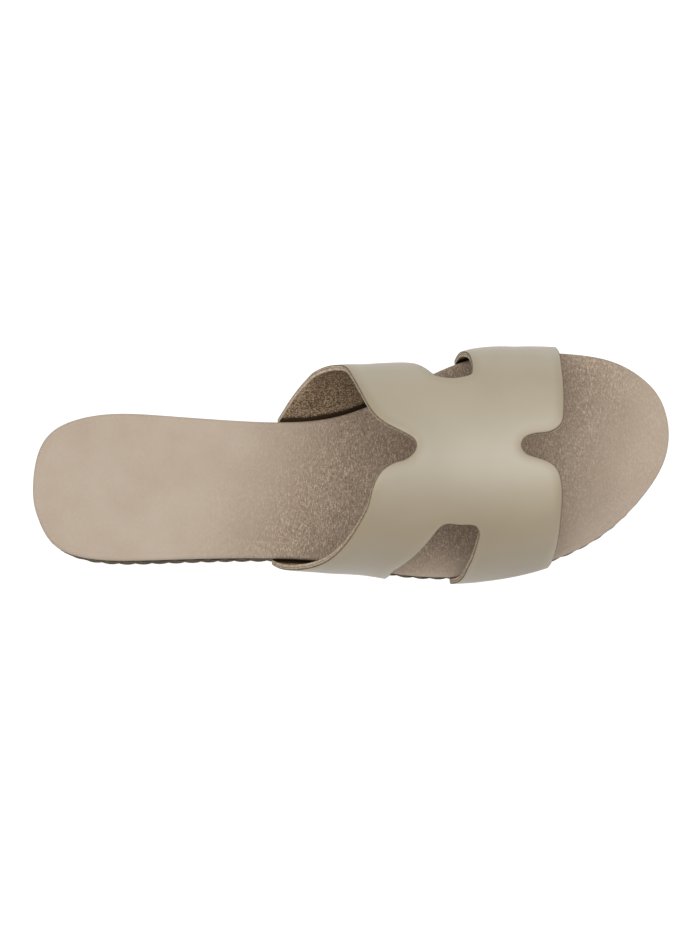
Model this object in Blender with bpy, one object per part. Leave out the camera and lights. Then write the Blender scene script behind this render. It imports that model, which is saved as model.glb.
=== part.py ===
"""A slide sandal for the right foot: an H-shaped upper on a low wedge wrapped in rope courses.

Metres, +X to the toe, +Y to the inner (medial) side, +Z up. The sandal stands on z = 0 with the middle
of its box over the origin. Shares along run from the heel (0) to the toe (1).
"""
import math

import bmesh
import bpy
import numpy as np
from mathutils import Vector
from mathutils.geometry import delaunay_2d_cdt

# Driving sizes
SHOE_LENGTH = 0.251
BALL_WIDTH = 0.0875
HEEL_HEIGHT = 0.038          # top of the insole above the floor, at the heel
FOREFOOT_HEIGHT = 0.020      # the same under the ball
TOE_SPRING = 0.007
INSTEP_HEIGHT = 0.060        # room under the rear strap, above the insole
CLEAR = 0.0003               # gap between pieces that meet

# Insole
INSOLE = 0.0045
EDGE_ROUND = 0.0014
HEEL_CUP = 0.0010            # depth of the dish under the heel
DISH_SHOULDER = 0.0070       # how far in from the edge the dish starts to deepen
DISH_FLOOR = 0.0160          # how far in it is at its deepest

# Upper
UPPER_WALL = 0.0022
LASTING_MARGIN = 0.0095      # what is turned in under the insole
MESH_STEP = 0.0052           # size of the facets
EDGE_STEP = 0.0032           # the same along the cut edges

# Sole
OUTSOLE = 0.0032
OUTSOLE_INSET = 0.0016       # the outsole's edge lies this far behind the rope's crests
GROOVE_DEPTH = 0.0012
GROOVE_WIDTH = 0.0024
GROOVE_PITCH = 0.0090
GROOVE_FIELDS = ((0.05, 0.28), (0.52, 0.92))     # shares along where the tread is grooved
WRAP = 0.0042                # rope wrap, from its crests to its inner face
ROPE = 0.0060                # height of one rope course
ROPE_PITCH = 0.0066          # length of one lobe of the twisted rope
ROPE_RELIEF = 0.0015         # how deep the valley between two courses is
LOBE_RELIEF = 0.0007         # how deep the cusp between two lobes is
OVERHANG = 0.0002            # the insole stands this far past the rope
SIDE_DRAFT_DEGREES = 1.8     # how much the side draws in towards the floor
RIM_COUNT = 88               # points round each ring of the insole, the wedge and the outsole

# Outline of the insole, a closed smooth curve round it: along, across as a share of BALL_WIDTH
OUTLINE = (
    (0.000, 0.005), (0.012, 0.172), (0.050, 0.290), (0.127, 0.326), (0.225, 0.292), (0.345, 0.241),
    (0.450, 0.224), (0.545, 0.284), (0.655, 0.412), (0.755, 0.462), (0.855, 0.431), (0.930, 0.365),
    (0.980, 0.242), (0.998, 0.120), (0.999, 0.000), (0.980, -0.144), (0.930, -0.304), (0.860, -0.436),
    (0.760, -0.518), (0.650, -0.533), (0.550, -0.495), (0.440, -0.415), (0.315, -0.370), (0.190, -0.347),
    (0.095, -0.322), (0.030, -0.248), (0.005, -0.115),
)

# Height of the footbed: along, share of the step from forefoot to heel, share of TOE_SPRING
FOOTBED = (
    (0.00, 1.000, 0.00), (0.12, 0.985, 0.00), (0.25, 0.900, 0.00), (0.40, 0.620, 0.00), (0.55, 0.260, 0.00),
    (0.66, 0.060, 0.00), (0.74, 0.000, 0.01), (0.85, 0.000, 0.29), (0.93, 0.000, 0.62), (1.00, 0.000, 1.00),
)

# Dish under the heel: along, share of HEEL_CUP
HEEL_DISH = ((0.00, 1.00), (0.26, 0.85), (0.45, 0.00), (1.00, 0.00))
DISH_SHOULDER_SHARE = 0.35   # share of the depth that the dish has at its shoulder

# Underside of the sole above the floor: along, share of TOE_SPRING
GROUND = (
    (0.00, 0.20), (0.04, 0.00), (0.30, 0.00), (0.43, 0.16), (0.56, 0.00), (0.72, 0.00), (0.80, 0.09),
    (0.90, 0.45), (1.00, 1.00),
)

# Sections of the upper: along, crown height as a share of INSTEP_HEIGHT, crown across as a share of
# BALL_WIDTH, and how far each side leans out as it leaves the insole, lateral then medial
SECTIONS = (
    (0.34, 1.080, 0.02, 0.32, 1.10),
    (0.44, 1.020, 0.00, 0.30, 1.05),
    (0.54, 0.910, -0.02, 0.06, 0.80),
    (0.64, 0.775, -0.04, 0.06, 0.32),
    (0.74, 0.660, -0.05, -0.18, 0.10),
    (0.84, 0.575, -0.05, -0.20, -0.23),
    (0.92, 0.530, -0.05, -0.20, -0.30),
)
SIDE_HANDLE_SHARE = 0.62     # shares of the height and half width that shape each side's curve
CROWN_HANDLE_SHARE = 0.60
INWARD_LEAN = -0.10          # a side that leans in by this much stands upright past the insole's edge

# The cut edges of the upper: along, and across from -1 at the lateral edge of the insole over 0 at the
# crown to 1 at the medial edge
COLLAR_EDGE = (
    (0.390, 1.000), (0.403, 0.967), (0.435, 0.874), (0.453, 0.808), (0.475, 0.737), (0.499, 0.648),
    (0.513, 0.486), (0.531, 0.301), (0.549, 0.211), (0.582, 0.133), (0.594, 0.100), (0.597, 0.060),
    (0.591, 0.012), (0.578, -0.022), (0.560, -0.042), (0.544, -0.075), (0.533, -0.120), (0.524, -0.185),
    (0.515, -0.282), (0.502, -0.371), (0.484, -0.477), (0.462, -0.586), (0.434, -0.703), (0.408, -0.800),
    (0.387, -0.870), (0.372, -0.940), (0.361, -1.000),
)
LATERAL_GAP = (
    (0.533, -1.000), (0.537, -0.910), (0.545, -0.790), (0.559, -0.695), (0.590, -0.533), (0.609, -0.434),
    (0.620, -0.382), (0.628, -0.361), (0.637, -0.355), (0.652, -0.364), (0.668, -0.370), (0.678, -0.388),
    (0.682, -0.440), (0.678, -0.507), (0.669, -0.632), (0.662, -0.716), (0.656, -0.817), (0.648, -0.920),
    (0.637, -1.000),
)
TOE_EDGE = (
    (0.791, -1.000), (0.796, -0.920), (0.804, -0.670), (0.809, -0.460), (0.813, -0.304), (0.814, -0.215),
    (0.812, -0.136), (0.806, -0.085), (0.795, -0.050), (0.779, -0.025), (0.765, -0.004), (0.758, 0.026),
    (0.759, 0.056), (0.766, 0.081), (0.782, 0.095), (0.802, 0.099), (0.816, 0.120), (0.824, 0.153),
    (0.828, 0.206), (0.833, 0.367), (0.836, 0.601), (0.838, 0.780), (0.838, 0.920), (0.837, 1.000),
)
MEDIAL_GAP = (
    (0.678, 1.000), (0.683, 0.915), (0.688, 0.826), (0.695, 0.718), (0.698, 0.598), (0.697, 0.512),
    (0.692, 0.466), (0.668, 0.457), (0.644, 0.485), (0.633, 0.527), (0.618, 0.630), (0.602, 0.730),
    (0.588, 0.830), (0.575, 0.920), (0.570, 1.000),
)
ARC_END = 1.10               # across value where the turn under the insole ends
MARGIN_END = 1.30            # across value at the cut end of the lasting margin
FOLD_ROWS = (1.0, (1.0 + ARC_END) / 2, ARC_END, MARGIN_END)      # across values that the facets follow


def smooth(rows, column, at):
    """One column of a table as a smooth curve of its first column, with no overshoot."""
    table = np.array(rows, dtype=float)
    x, y = table[:, 0], table[:, column]
    step = np.diff(x)
    slope = np.diff(y) / step
    tangent = np.zeros(len(x))
    same = slope[:-1] * slope[1:] > 0
    tangent[1:-1][same] = 2.0 * slope[:-1][same] * slope[1:][same] / (slope[:-1][same] + slope[1:][same])
    tangent[0], tangent[-1] = slope[0], slope[-1]
    at = np.clip(np.asarray(at, dtype=float), x[0], x[-1])
    i = np.clip(np.searchsorted(x, at) - 1, 0, len(x) - 2)
    t = (at - x[i]) / step[i]
    start = (2 * t**3 - 3 * t**2 + 1) * y[i] + (t**3 - 2 * t**2 + t) * step[i] * tangent[i]
    return start + (3 * t**2 - 2 * t**3) * y[i + 1] + (t**3 - t**2) * step[i] * tangent[i + 1]


def closed_curve(points, count):
    """A smooth closed curve (uniform cubic B-spline) through every one of the points."""
    points = np.array(points, dtype=float)
    total = len(points)
    system = np.eye(total) * 4 / 6 + (np.roll(np.eye(total), 1, 0) + np.roll(np.eye(total), -1, 0)) / 6
    control = np.linalg.solve(system, points)
    t = np.arange(count) * total / count
    i = t.astype(int)
    f = (t - i)[:, None]
    weights = ((1 - f)**3, 3 * f**3 - 6 * f**2 + 4, -3 * f**3 + 3 * f**2 + 3 * f + 1, f**3)
    return sum(w / 6 * control[(i + k - 1) % total] for k, w in enumerate(weights))


def x_at(along):
    return (np.asarray(along, dtype=float) - 0.5) * SHOE_LENGTH


def along_at(x):
    return np.asarray(x, dtype=float) / SHOE_LENGTH + 0.5


FINE_OUTLINE = closed_curve(OUTLINE, 2400) * (SHOE_LENGTH, BALL_WIDTH) - (SHOE_LENGTH / 2, 0)


def outline_halves():
    """The fine outline as its lateral and medial halves, each from heel to toe."""
    heel = int(np.argmin(FINE_OUTLINE[:, 0]))
    turned = np.roll(FINE_OUTLINE, -heel, axis=0)
    toe = int(np.argmax(turned[:, 0]))
    return np.vstack([turned[:1], turned[toe:][::-1]]), turned[:toe + 1]


LATERAL_HALF, MEDIAL_HALF = outline_halves()


def insole_edge(x, side):
    """Across position of the insole's edge at x, on the lateral (-1) or medial (1) side."""
    half = MEDIAL_HALF if side > 0 else LATERAL_HALF
    return np.interp(x, half[:, 0], half[:, 1])


def footbed(x):
    along = along_at(x)
    step = (HEEL_HEIGHT - FOREFOOT_HEIGHT) * smooth(FOOTBED, 1, along)
    return FOREFOOT_HEIGHT + step + TOE_SPRING * smooth(FOOTBED, 2, along)


def ground(x):
    return TOE_SPRING * smooth(GROUND, 1, along_at(x))


def inset(points, distance):
    """A closed plan outline moved inwards by a distance, or by one distance for each point."""
    along = np.roll(points, -1, axis=0) - np.roll(points, 1, axis=0)
    along /= np.linalg.norm(along, axis=1)[:, None]
    inwards = np.stack([-along[:, 1], along[:, 0]], axis=1)
    return points - inwards * np.asarray(distance).reshape(-1, 1)


def ladder_rim():
    """The outline as points in pairs that face each other across the shoe, closer at heel and toe."""
    rungs = RIM_COUNT // 2
    low, high = MEDIAL_HALF[0, 0], MEDIAL_HALF[-1, 0]
    x = low + (high - low) * (1 - np.cos(np.pi * np.arange(rungs + 1) / rungs)) / 2
    medial = np.stack([x, np.interp(x, MEDIAL_HALF[:, 0], MEDIAL_HALF[:, 1])], axis=1)
    back = x[1:-1][::-1]
    lateral = np.stack([back, np.interp(back, LATERAL_HALF[:, 0], LATERAL_HALF[:, 1])], axis=1)
    return np.vstack([medial, lateral])


def even_rim(pitch):
    """The outline as an even number of points, evenly spaced along it."""
    loop = np.vstack([FINE_OUTLINE, FINE_OUTLINE[:1]])
    run = np.concatenate([[0], np.cumsum(np.linalg.norm(np.diff(loop, axis=0), axis=1))])
    count = 2 * round(run[-1] / pitch)
    at = np.arange(count) * run[-1] / count
    return np.stack([np.interp(at, run, loop[:, 0]), np.interp(at, run, loop[:, 1])], axis=1)


def material(name, colour, roughness):
    made = bpy.data.materials.new(name)
    made.use_nodes = True
    shader = made.node_tree.nodes["Principled BSDF"]
    shader.inputs["Base Color"].default_value = (*colour, 1.0)
    shader.inputs["Roughness"].default_value = roughness
    shader.inputs["Metallic"].default_value = 0.0
    return made


def mesh_object(name, points, faces, finish, smooth_angle=None):
    mesh = bpy.data.meshes.new(name)
    mesh.from_pydata([tuple(map(float, p)) for p in points], [], [tuple(map(int, f)) for f in faces])
    form = bmesh.new()
    form.from_mesh(mesh)
    bmesh.ops.recalc_face_normals(form, faces=form.faces)
    form.to_mesh(mesh)
    form.free()
    made = bpy.data.objects.new(name, mesh)
    bpy.context.scene.collection.objects.link(made)
    if finish:
        mesh.materials.append(finish)
    if smooth_angle:
        mesh.shade_smooth()
        mesh.set_sharp_from_angle(angle=math.radians(smooth_angle))
    return made


def bridge(first, second, count):
    """Quads between two closed rings of the same number of points, given by their first indices."""
    return [(first + i, first + (i + 1) % count, second + (i + 1) % count, second + i) for i in range(count)]


def ladder_cap(first, count):
    """A cap over a ring made by ladder_rim: a triangle at each end and rungs between."""
    faces = [(first, first + 1, first + count - 1)]
    for i in range(1, count // 2 - 1):
        faces.append((first + i, first + i + 1, first + count - i - 1, first + count - i))
    faces.append((first + count // 2 - 1, first + count // 2, first + count // 2 + 1))
    return faces


def stacked_rings(name, rings, finish, smooth_angle=None):
    """A solid from rings of one ladder outline, from its top cap down to its bottom cap."""
    count = len(rings[0])
    faces = ladder_cap(0, count)
    for k in range(len(rings) - 1):
        faces += bridge(k * count, (k + 1) * count, count)
    faces += ladder_cap((len(rings) - 1) * count, count)
    return mesh_object(name, np.vstack(rings), faces, finish, smooth_angle)


def at_height(plan, height):
    return np.column_stack([plan, height])


def surface_ring(plan, surface, lift):
    """A plan outline laid on the footbed's or the ground's curve, and lifted by a distance."""
    return at_height(plan, surface(plan[:, 0]) + lift)


def make_insole():
    """The wrapped insole: rounded at its rim and dished a little under the heel."""
    rim = ladder_rim()
    dish = HEEL_CUP * smooth(HEEL_DISH, 1, along_at(rim[:, 0]))
    arc = EDGE_ROUND * (1 - math.sqrt(0.5))
    profile = (
        (DISH_FLOOR, -dish), (DISH_SHOULDER, -DISH_SHOULDER_SHARE * dish), (EDGE_ROUND, 0.0), (arc, -arc),
        (0.0, -EDGE_ROUND), (0.0, -INSOLE + arc), (arc, -INSOLE),
    )
    rings = [surface_ring(inset(rim, depth), footbed, drop) for depth, drop in profile]
    return stacked_rings("insole", rings, material("suede_lining", (0.46, 0.38, 0.31), 0.95), 40)


def side_inset(x, height):
    """How far the rope's crests lie inside the insole's edge at a height."""
    return OVERHANG + math.tan(math.radians(SIDE_DRAFT_DEGREES)) * (footbed(x) - INSOLE - height)


def make_wedge():
    """The light core that the rope is wrapped round."""
    rim = ladder_rim()
    rings = []
    for surface, lift in ((footbed, -INSOLE - CLEAR), (ground, OUTSOLE + CLEAR)):
        depth = side_inset(rim[:, 0], surface(rim[:, 0]) + lift) + WRAP + CLEAR
        rings.append(surface_ring(inset(rim, depth), surface, lift))
    return stacked_rings("wedge", rings, material("wedge_foam", (0.34, 0.26, 0.18), 0.9))


def make_wrap():
    """The rope wrap: one hollow wall whose courses stand out, each with its row of lobes."""
    rim = even_rim(ROPE_PITCH)
    count = len(rim)
    courses = math.ceil((HEEL_HEIGHT - INSOLE - OUTSOLE) / ROPE)
    lobes = LOBE_RELIEF * (np.arange(count) % 2)

    def ring(row, behind):
        lift = OUTSOLE + CLEAR + row * ROPE / 2
        depth = side_inset(rim[:, 0], ground(rim[:, 0]) + lift) + behind
        return surface_ring(inset(rim, depth), ground, lift)

    rings = [ring(0, WRAP)]
    for row in range(2 * courses + 1):
        rings.append(ring(row, lobes if row % 2 else ROPE_RELIEF))
    rings.append(ring(2 * courses, WRAP))
    faces = []
    for k in range(len(rings)):
        faces += bridge(k * count, (k + 1) % len(rings) * count, count)
    return mesh_object("jute_wrap", np.vstack(rings), faces, material("jute", (0.12, 0.085, 0.06), 0.95))


def make_outsole():
    """The thin rubber outsole, with a chamfer round its foot."""
    rim = ladder_rim()
    side = side_inset(rim[:, 0], ground(rim[:, 0]) + OUTSOLE) + OUTSOLE_INSET
    chamfer = OUTSOLE / 3
    profile = ((0.0, OUTSOLE), (0.0, chamfer), (chamfer, 0.0))
    rings = [surface_ring(inset(rim, side + depth), ground, lift) for depth, lift in profile]
    return stacked_rings("outsole", rings, material("rubber", (0.06, 0.045, 0.035), 0.7))


def block_strip(stations, sides, floor, roof):
    """A closed bar that follows its stations along x, between two sides, a floor and a roof."""
    points = []
    for x, (near, far), low, high in zip(stations, sides, floor, roof):
        points += [(x, near, low), (x, far, low), (x, far, high), (x, near, high)]
    last = 4 * (len(stations) - 1)
    faces = [(0, 1, 2, 3), (last, last + 3, last + 2, last + 1)]
    for k in range(0, last, 4):
        faces += [(k + i, k + 4 + i, k + 4 + (i + 1) % 4, k + (i + 1) % 4) for i in range(4)]
    return points, faces


def join_blocks(name, blocks):
    points, faces = [], []
    for block_points, block_faces in blocks:
        faces += [tuple(i + len(points) for i in face) for face in block_faces]
        points += block_points
    made = mesh_object(name, points, faces, None)
    made.hide_render = True
    made.display_type = "WIRE"
    return made


def groove_cutter():
    """The grooves of the tread, in a heel field and a forefoot field with a smooth waist between."""
    blocks = []
    for start, end in GROOVE_FIELDS:
        count = int((end - start) * SHOE_LENGTH / GROOVE_PITCH)
        for k in range(count):
            x = x_at(start) + (k + 0.5) * GROOVE_PITCH
            ends = (x - GROOVE_WIDTH / 2, x + GROOVE_WIDTH / 2)
            floor = [float(ground(end_x)) - OUTSOLE for end_x in ends]
            roof = [float(ground(end_x)) + GROOVE_DEPTH for end_x in ends]
            blocks.append(block_strip(ends, [(-BALL_WIDTH, BALL_WIDTH)] * 2, floor, roof))
    return join_blocks("groove_cutter", blocks)


def footbed_cutter():
    """All that lies above the underside of the insole."""
    x = x_at(np.linspace(-0.06, 1.06, 45))
    floor = footbed(x) - INSOLE - CLEAR
    roof = [HEEL_HEIGHT * 2] * len(x)
    return join_blocks("footbed_cutter", [block_strip(x, [(-BALL_WIDTH, BALL_WIDTH)] * len(x), floor, roof)])


def attachments():
    """Where the upper goes down beside the insole: side, and its first and last share along."""
    return (
        (-1, COLLAR_EDGE[-1][0], LATERAL_GAP[0][0]), (-1, LATERAL_GAP[-1][0], TOE_EDGE[0][0]),
        (1, COLLAR_EDGE[0][0], MEDIAL_GAP[-1][0]), (1, MEDIAL_GAP[0][0], TOE_EDGE[-1][0]),
    )


def pocket_cutter():
    """The shallow seats for the lasting margins, under the insole."""
    blocks = []
    for side, start, end in attachments():
        x = np.linspace(x_at(start) - CLEAR, x_at(end) + CLEAR, 9)
        inner = insole_edge(x, side) - side * (LASTING_MARGIN + CLEAR)
        outer = side * BALL_WIDTH
        floor = footbed(x) - INSOLE - 2 * CLEAR - UPPER_WALL
        blocks.append(block_strip(x, [(y, outer) for y in inner], floor, floor + UPPER_WALL * 3))
    return join_blocks("pocket_cutter", blocks)


def section_point(along, across):
    """A point of the upper's inner face and the outward direction there, as x, y, z triples.

    From its end under the insole the wall runs out, turns up round the insole's lower edge and climbs
    as one cubic curve to the crown.
    """
    side = 1 if across > 0 else -1
    x = float(x_at(along))
    crown, middle, lean_lateral, lean_medial = (float(smooth(SECTIONS, k, along)) for k in range(1, 5))
    lean = lean_medial if side > 0 else lean_lateral
    edge = float(insole_edge(x, side))
    top = float(footbed(x))
    under = top - INSOLE
    reach = abs(across)
    turn_end = math.atan2(1.0, max(lean, 0.0))
    if reach >= ARC_END:
        share = (reach - ARC_END) / (MARGIN_END - ARC_END)
        y, z, ny, nz = edge - side * share * LASTING_MARGIN, under - CLEAR, 0.0, -1.0
    elif reach > 1.0:
        turn = turn_end * (ARC_END - reach) / (ARC_END - 1.0)
        ny, nz = side * math.sin(turn), -math.cos(turn)
        y, z = edge + CLEAR * ny, under + CLEAR * nz
    else:
        straight = min(1.0, max(0.0, lean / INWARD_LEAN)) * (INSOLE - EDGE_ROUND)
        foot = Vector((edge + side * CLEAR * math.sin(turn_end), under - CLEAR * math.cos(turn_end)))
        foot.y += straight
        peak = Vector((middle * BALL_WIDTH, top + crown * INSTEP_HEIGHT))
        rise = peak.y - foot.y
        handle = foot + Vector((side * lean, 1.0)) * rise * SIDE_HANDLE_SHARE
        shoulder = Vector((peak.x + CROWN_HANDLE_SHARE * (foot.x - peak.x), peak.y))
        t = 1.0 - reach
        spot = foot * (1 - t)**3 + handle * 3 * t * (1 - t)**2 + shoulder * 3 * t * t * (1 - t) + peak * t**3
        run = (handle - foot) * (1 - t)**2 + (shoulder - handle) * 2 * t * (1 - t) + (peak - shoulder) * t**2
        run.normalize()
        y, z = spot
        ny, nz = side * run.y, -side * run.x
    return (x, y, z), (0.0, ny, nz)


def section_runs():
    """Across values, and their run in metres from the crown round a section in the middle of the upper."""
    middle = (SECTIONS[0][0] + SECTIONS[-1][0]) / 2
    values = np.linspace(0.0, MARGIN_END, 131)
    spots = np.array([section_point(middle, -value)[0] for value in values])
    run = np.concatenate([[0], np.cumsum(np.linalg.norm(np.diff(spots, axis=0), axis=1))])
    return values, run


RUN_ACROSS, RUN_LENGTH = section_runs()


def flat(along, across):
    """A place on the upper's pattern, laid flat, in metres."""
    return along * SHOE_LENGTH, math.copysign(float(np.interp(abs(across), RUN_ACROSS, RUN_LENGTH)), across)


def unflat(spot):
    """The along and across values of a place on the flat pattern."""
    across = round(float(np.interp(abs(spot[1]), RUN_LENGTH, RUN_ACROSS)), 5)
    return spot[0] / SHOE_LENGTH, math.copysign(across, spot[1])


def through(points, step):
    """Points about a step apart on a smooth curve (Catmull-Rom) through the given flat points."""
    points = np.array(points)
    padded = np.vstack([2 * points[0] - points[1], points, 2 * points[-1] - points[-2]])
    spots = [tuple(points[0])]
    for i in range(1, len(padded) - 2):
        a, b, c, d = padded[i - 1:i + 3]
        count = max(1, round(float(np.linalg.norm(c - b)) / step))
        for k in range(1, count + 1):
            t = k / count
            spot = 2 * b + (c - a) * t + (2 * a - 5 * b + 4 * c - d) * t**2 + (3 * b - a - 3 * c + d) * t**3
            spots.append(tuple(spot / 2))
    return spots


def pattern_border():
    """The flat pattern's closed border, and where each fold row meets it, by edge, end and row."""
    border, marks = [], {}
    for number, edge in enumerate((COLLAR_EDGE, LATERAL_GAP, TOE_EDGE, MEDIAL_GAP)):
        (first, first_side), (last, last_side) = edge[0], edge[-1]
        for row in reversed(FOLD_ROWS[1:]):
            marks[number, "first", row] = len(border)
            border.append(flat(first, math.copysign(row, first_side)))
        marks[number, "first", FOLD_ROWS[0]] = len(border)
        border += through([flat(*spot) for spot in edge], EDGE_STEP)
        marks[number, "last", FOLD_ROWS[0]] = len(border) - 1
        for row in FOLD_ROWS[1:]:
            marks[number, "last", row] = len(border)
            border.append(flat(last, math.copysign(row, last_side)))
    return border, marks


def fold_lines(spots, marks):
    """The lines that the facets keep: the cut edges, and the fold rows, which add points to the spots."""
    lines = []
    for number in range(4):
        for row in FOLD_ROWS:
            first, last = marks[number, "last", row], marks[(number + 1) % 4, "first", row]
            start, end = np.array(spots[first]), np.array(spots[last])
            count = max(2, round(float(np.linalg.norm(end - start)) / MESH_STEP))
            chain = [first] + list(range(len(spots), len(spots) + count - 1)) + [last]
            spots += [tuple(start + (end - start) * k / count) for k in range(1, count)]
            lines += list(zip(chain[:-1], chain[1:]))
        edge = range(marks[number, "first", MARGIN_END], marks[number, "last", MARGIN_END])
        lines += [(i, i + 1) for i in edge]
    return lines


def filling(border):
    """Rows of points, every other one shifted, that fill the pattern between its fold rows."""
    polygon = np.array(border)
    fold = float(np.interp(FOLD_ROWS[0], RUN_ACROSS, RUN_LENGTH)) - EDGE_STEP
    spots = []
    for i, x in enumerate(np.arange(polygon[:, 0].min() + MESH_STEP / 2, polygon[:, 0].max(), MESH_STEP)):
        for y in np.arange(-fold + (i % 2) * MESH_STEP / 2, fold, MESH_STEP):
            if inside(polygon, (x, y)) and np.linalg.norm(polygon - (x, y), axis=1).min() > EDGE_STEP:
                spots.append((x, y))
    return spots


def inside(polygon, spot):
    """Whether a flat point lies inside a closed polygon."""
    a, b = polygon, np.roll(polygon, -1, axis=0)
    spans = (a[:, 1] > spot[1]) != (b[:, 1] > spot[1])
    cross = a[:, 0] + (spot[1] - a[:, 1]) * (b[:, 0] - a[:, 0]) / np.where(spans, b[:, 1] - a[:, 1], 1.0)
    return bool(np.count_nonzero(spans & (cross > spot[0])) % 2)


def wall(faces, total):
    """The faces of a closed wall: one sheet, the same sheet turned over, and the rim between them."""
    solid = [tuple(face) for face in faces] + [tuple(i + total for i in reversed(face)) for face in faces]
    sides = {pair for face in faces for pair in zip(face, list(face[1:]) + [face[0]])}
    return solid + [(b, a, a + total, b + total) for a, b in sorted(sides) if (b, a) not in sides]


def make_upper():
    """The upper: one wall cut to an H, its four feet turned in under the insole."""
    border, marks = pattern_border()
    spots = list(border)
    lines = fold_lines(spots, marks)
    spots += filling(border)
    pattern = delaunay_2d_cdt([Vector(spot) for spot in spots], lines, [], 1, 1e-7)
    inner, outer = [], []
    for spot in pattern[0]:
        place, outwards = section_point(*unflat(spot))
        inner.append(Vector(place))
        outer.append(Vector(place) + Vector(outwards) * UPPER_WALL)
    finish = material("smooth_synthetic", (0.47, 0.42, 0.34), 0.5)
    return mesh_object("upper", inner + outer, wall(pattern[2], len(inner)), finish, 50)


def cut(target, cutter):
    step = target.modifiers.new(cutter.name, "BOOLEAN")
    step.operation = "DIFFERENCE"
    step.solver = "EXACT"
    step.object = cutter


def centre_over_origin(objects):
    """Puts the middle of the whole box over the origin, with one empty that carries every piece."""
    corners = np.array([vertex.co for obj in objects for vertex in obj.data.vertices])
    middle = (corners.min(axis=0) + corners.max(axis=0)) / 2
    frame = bpy.data.objects.new("sandal_frame", None)
    bpy.context.scene.collection.objects.link(frame)
    frame.location = (-middle[0], -middle[1], 0.0)
    for obj in bpy.data.objects:
        if obj is not frame:
            obj.parent = frame


def main():
    for obj in list(bpy.data.objects):
        bpy.data.objects.remove(obj)
    insole = make_insole()
    wedge = make_wedge()
    wrap = make_wrap()
    outsole = make_outsole()
    upper = make_upper()
    pockets = pocket_cutter()
    cut(wedge, pockets)
    cut(wrap, footbed_cutter())
    cut(wrap, pockets)
    cut(outsole, groove_cutter())
    centre_over_origin((insole, outsole, upper))


main()
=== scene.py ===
# %% [markdown]
# This script dresses a slide sandal for the right foot. The imported solids give its true sizes; here each of
# them gets the surface that a hand would feel: a suede-like insole, a smooth strap with a grainy lining,
# twisted rope round a low wedge, and a thin rubber outsole. Everything is in metres, with +X to the toe, +Y
# to the inner side of the foot and +Z up. The imported model is loaded first, and nothing here moves it.

# %% Load the packed sandal
import math

import bmesh
import bpy
import numpy as np
from mathutils import Matrix, Vector
from mathutils.geometry import delaunay_2d_cdt


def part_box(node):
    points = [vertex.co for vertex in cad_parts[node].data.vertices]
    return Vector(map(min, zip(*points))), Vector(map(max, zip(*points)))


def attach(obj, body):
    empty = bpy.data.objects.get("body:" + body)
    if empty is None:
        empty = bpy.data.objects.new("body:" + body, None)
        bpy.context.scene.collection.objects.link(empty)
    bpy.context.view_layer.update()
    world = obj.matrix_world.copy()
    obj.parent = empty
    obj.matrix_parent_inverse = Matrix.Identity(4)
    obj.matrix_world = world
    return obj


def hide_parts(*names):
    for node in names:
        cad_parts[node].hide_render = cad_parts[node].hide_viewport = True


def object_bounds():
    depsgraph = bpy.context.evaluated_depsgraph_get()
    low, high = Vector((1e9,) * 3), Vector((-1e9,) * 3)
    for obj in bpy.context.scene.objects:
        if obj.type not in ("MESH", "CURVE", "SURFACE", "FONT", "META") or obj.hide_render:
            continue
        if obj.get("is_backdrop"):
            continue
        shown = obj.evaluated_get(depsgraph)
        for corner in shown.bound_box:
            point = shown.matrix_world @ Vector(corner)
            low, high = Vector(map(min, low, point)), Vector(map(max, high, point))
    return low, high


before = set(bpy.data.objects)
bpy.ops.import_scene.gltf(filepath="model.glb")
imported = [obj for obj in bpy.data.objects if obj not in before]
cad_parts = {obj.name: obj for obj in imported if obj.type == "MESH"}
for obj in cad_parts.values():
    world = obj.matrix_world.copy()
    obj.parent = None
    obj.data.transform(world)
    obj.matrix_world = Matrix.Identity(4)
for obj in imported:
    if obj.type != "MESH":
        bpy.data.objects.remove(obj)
cad_low, cad_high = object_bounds()
print("packed box in mm:", [round(1000 * side) for side in cad_high - cad_low])

# %% [markdown]
# A shoemaker works from a last, and every piece follows it. The same few sizes and tables that shaped the
# solids are kept here, so that the fine surfaces fall exactly where the solids are. Shares along run from
# the heel (0) to the toe (1), and across values from the lateral edge of the insole (-1) over the crown (0)
# to the medial edge (1).

# %% Sizes of the last and of each piece
SHOE_LENGTH = 0.251
BALL_WIDTH = 0.0875
HEEL_HEIGHT = 0.038
FOREFOOT_HEIGHT = 0.020
TOE_SPRING = 0.007
INSTEP_HEIGHT = 0.060
CLEAR = 0.0003

INSOLE = 0.0045
EDGE_ROUND = 0.0014
HEEL_CUP = 0.0010
DISH_FLOOR = 0.0160

UPPER_WALL = 0.0022
LASTING_MARGIN = 0.0095

OUTSOLE = 0.0032
OUTSOLE_INSET = 0.0016
GROOVE_DEPTH = 0.0012
GROOVE_WIDTH = 0.0024
GROOVE_PITCH = 0.0090
GROOVE_FIELDS = ((0.05, 0.28), (0.52, 0.92))

WRAP = 0.0042
ROPE = 0.0060
ROPE_PITCH = 0.0066
OVERHANG = 0.0002
SIDE_DRAFT_DEGREES = 1.8

# %% Tables of the outline, the footbed and the floor line
# Outline of the insole: along, across as a share of BALL_WIDTH
OUTLINE = (
    (0.000, 0.005), (0.012, 0.172), (0.050, 0.290), (0.127, 0.326), (0.225, 0.292), (0.345, 0.241),
    (0.450, 0.224), (0.545, 0.284), (0.655, 0.412), (0.755, 0.462), (0.855, 0.431), (0.930, 0.365),
    (0.980, 0.242), (0.998, 0.120), (0.999, 0.000), (0.980, -0.144), (0.930, -0.304), (0.860, -0.436),
    (0.760, -0.518), (0.650, -0.533), (0.550, -0.495), (0.440, -0.415), (0.315, -0.370), (0.190, -0.347),
    (0.095, -0.322), (0.030, -0.248), (0.005, -0.115),
)

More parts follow.
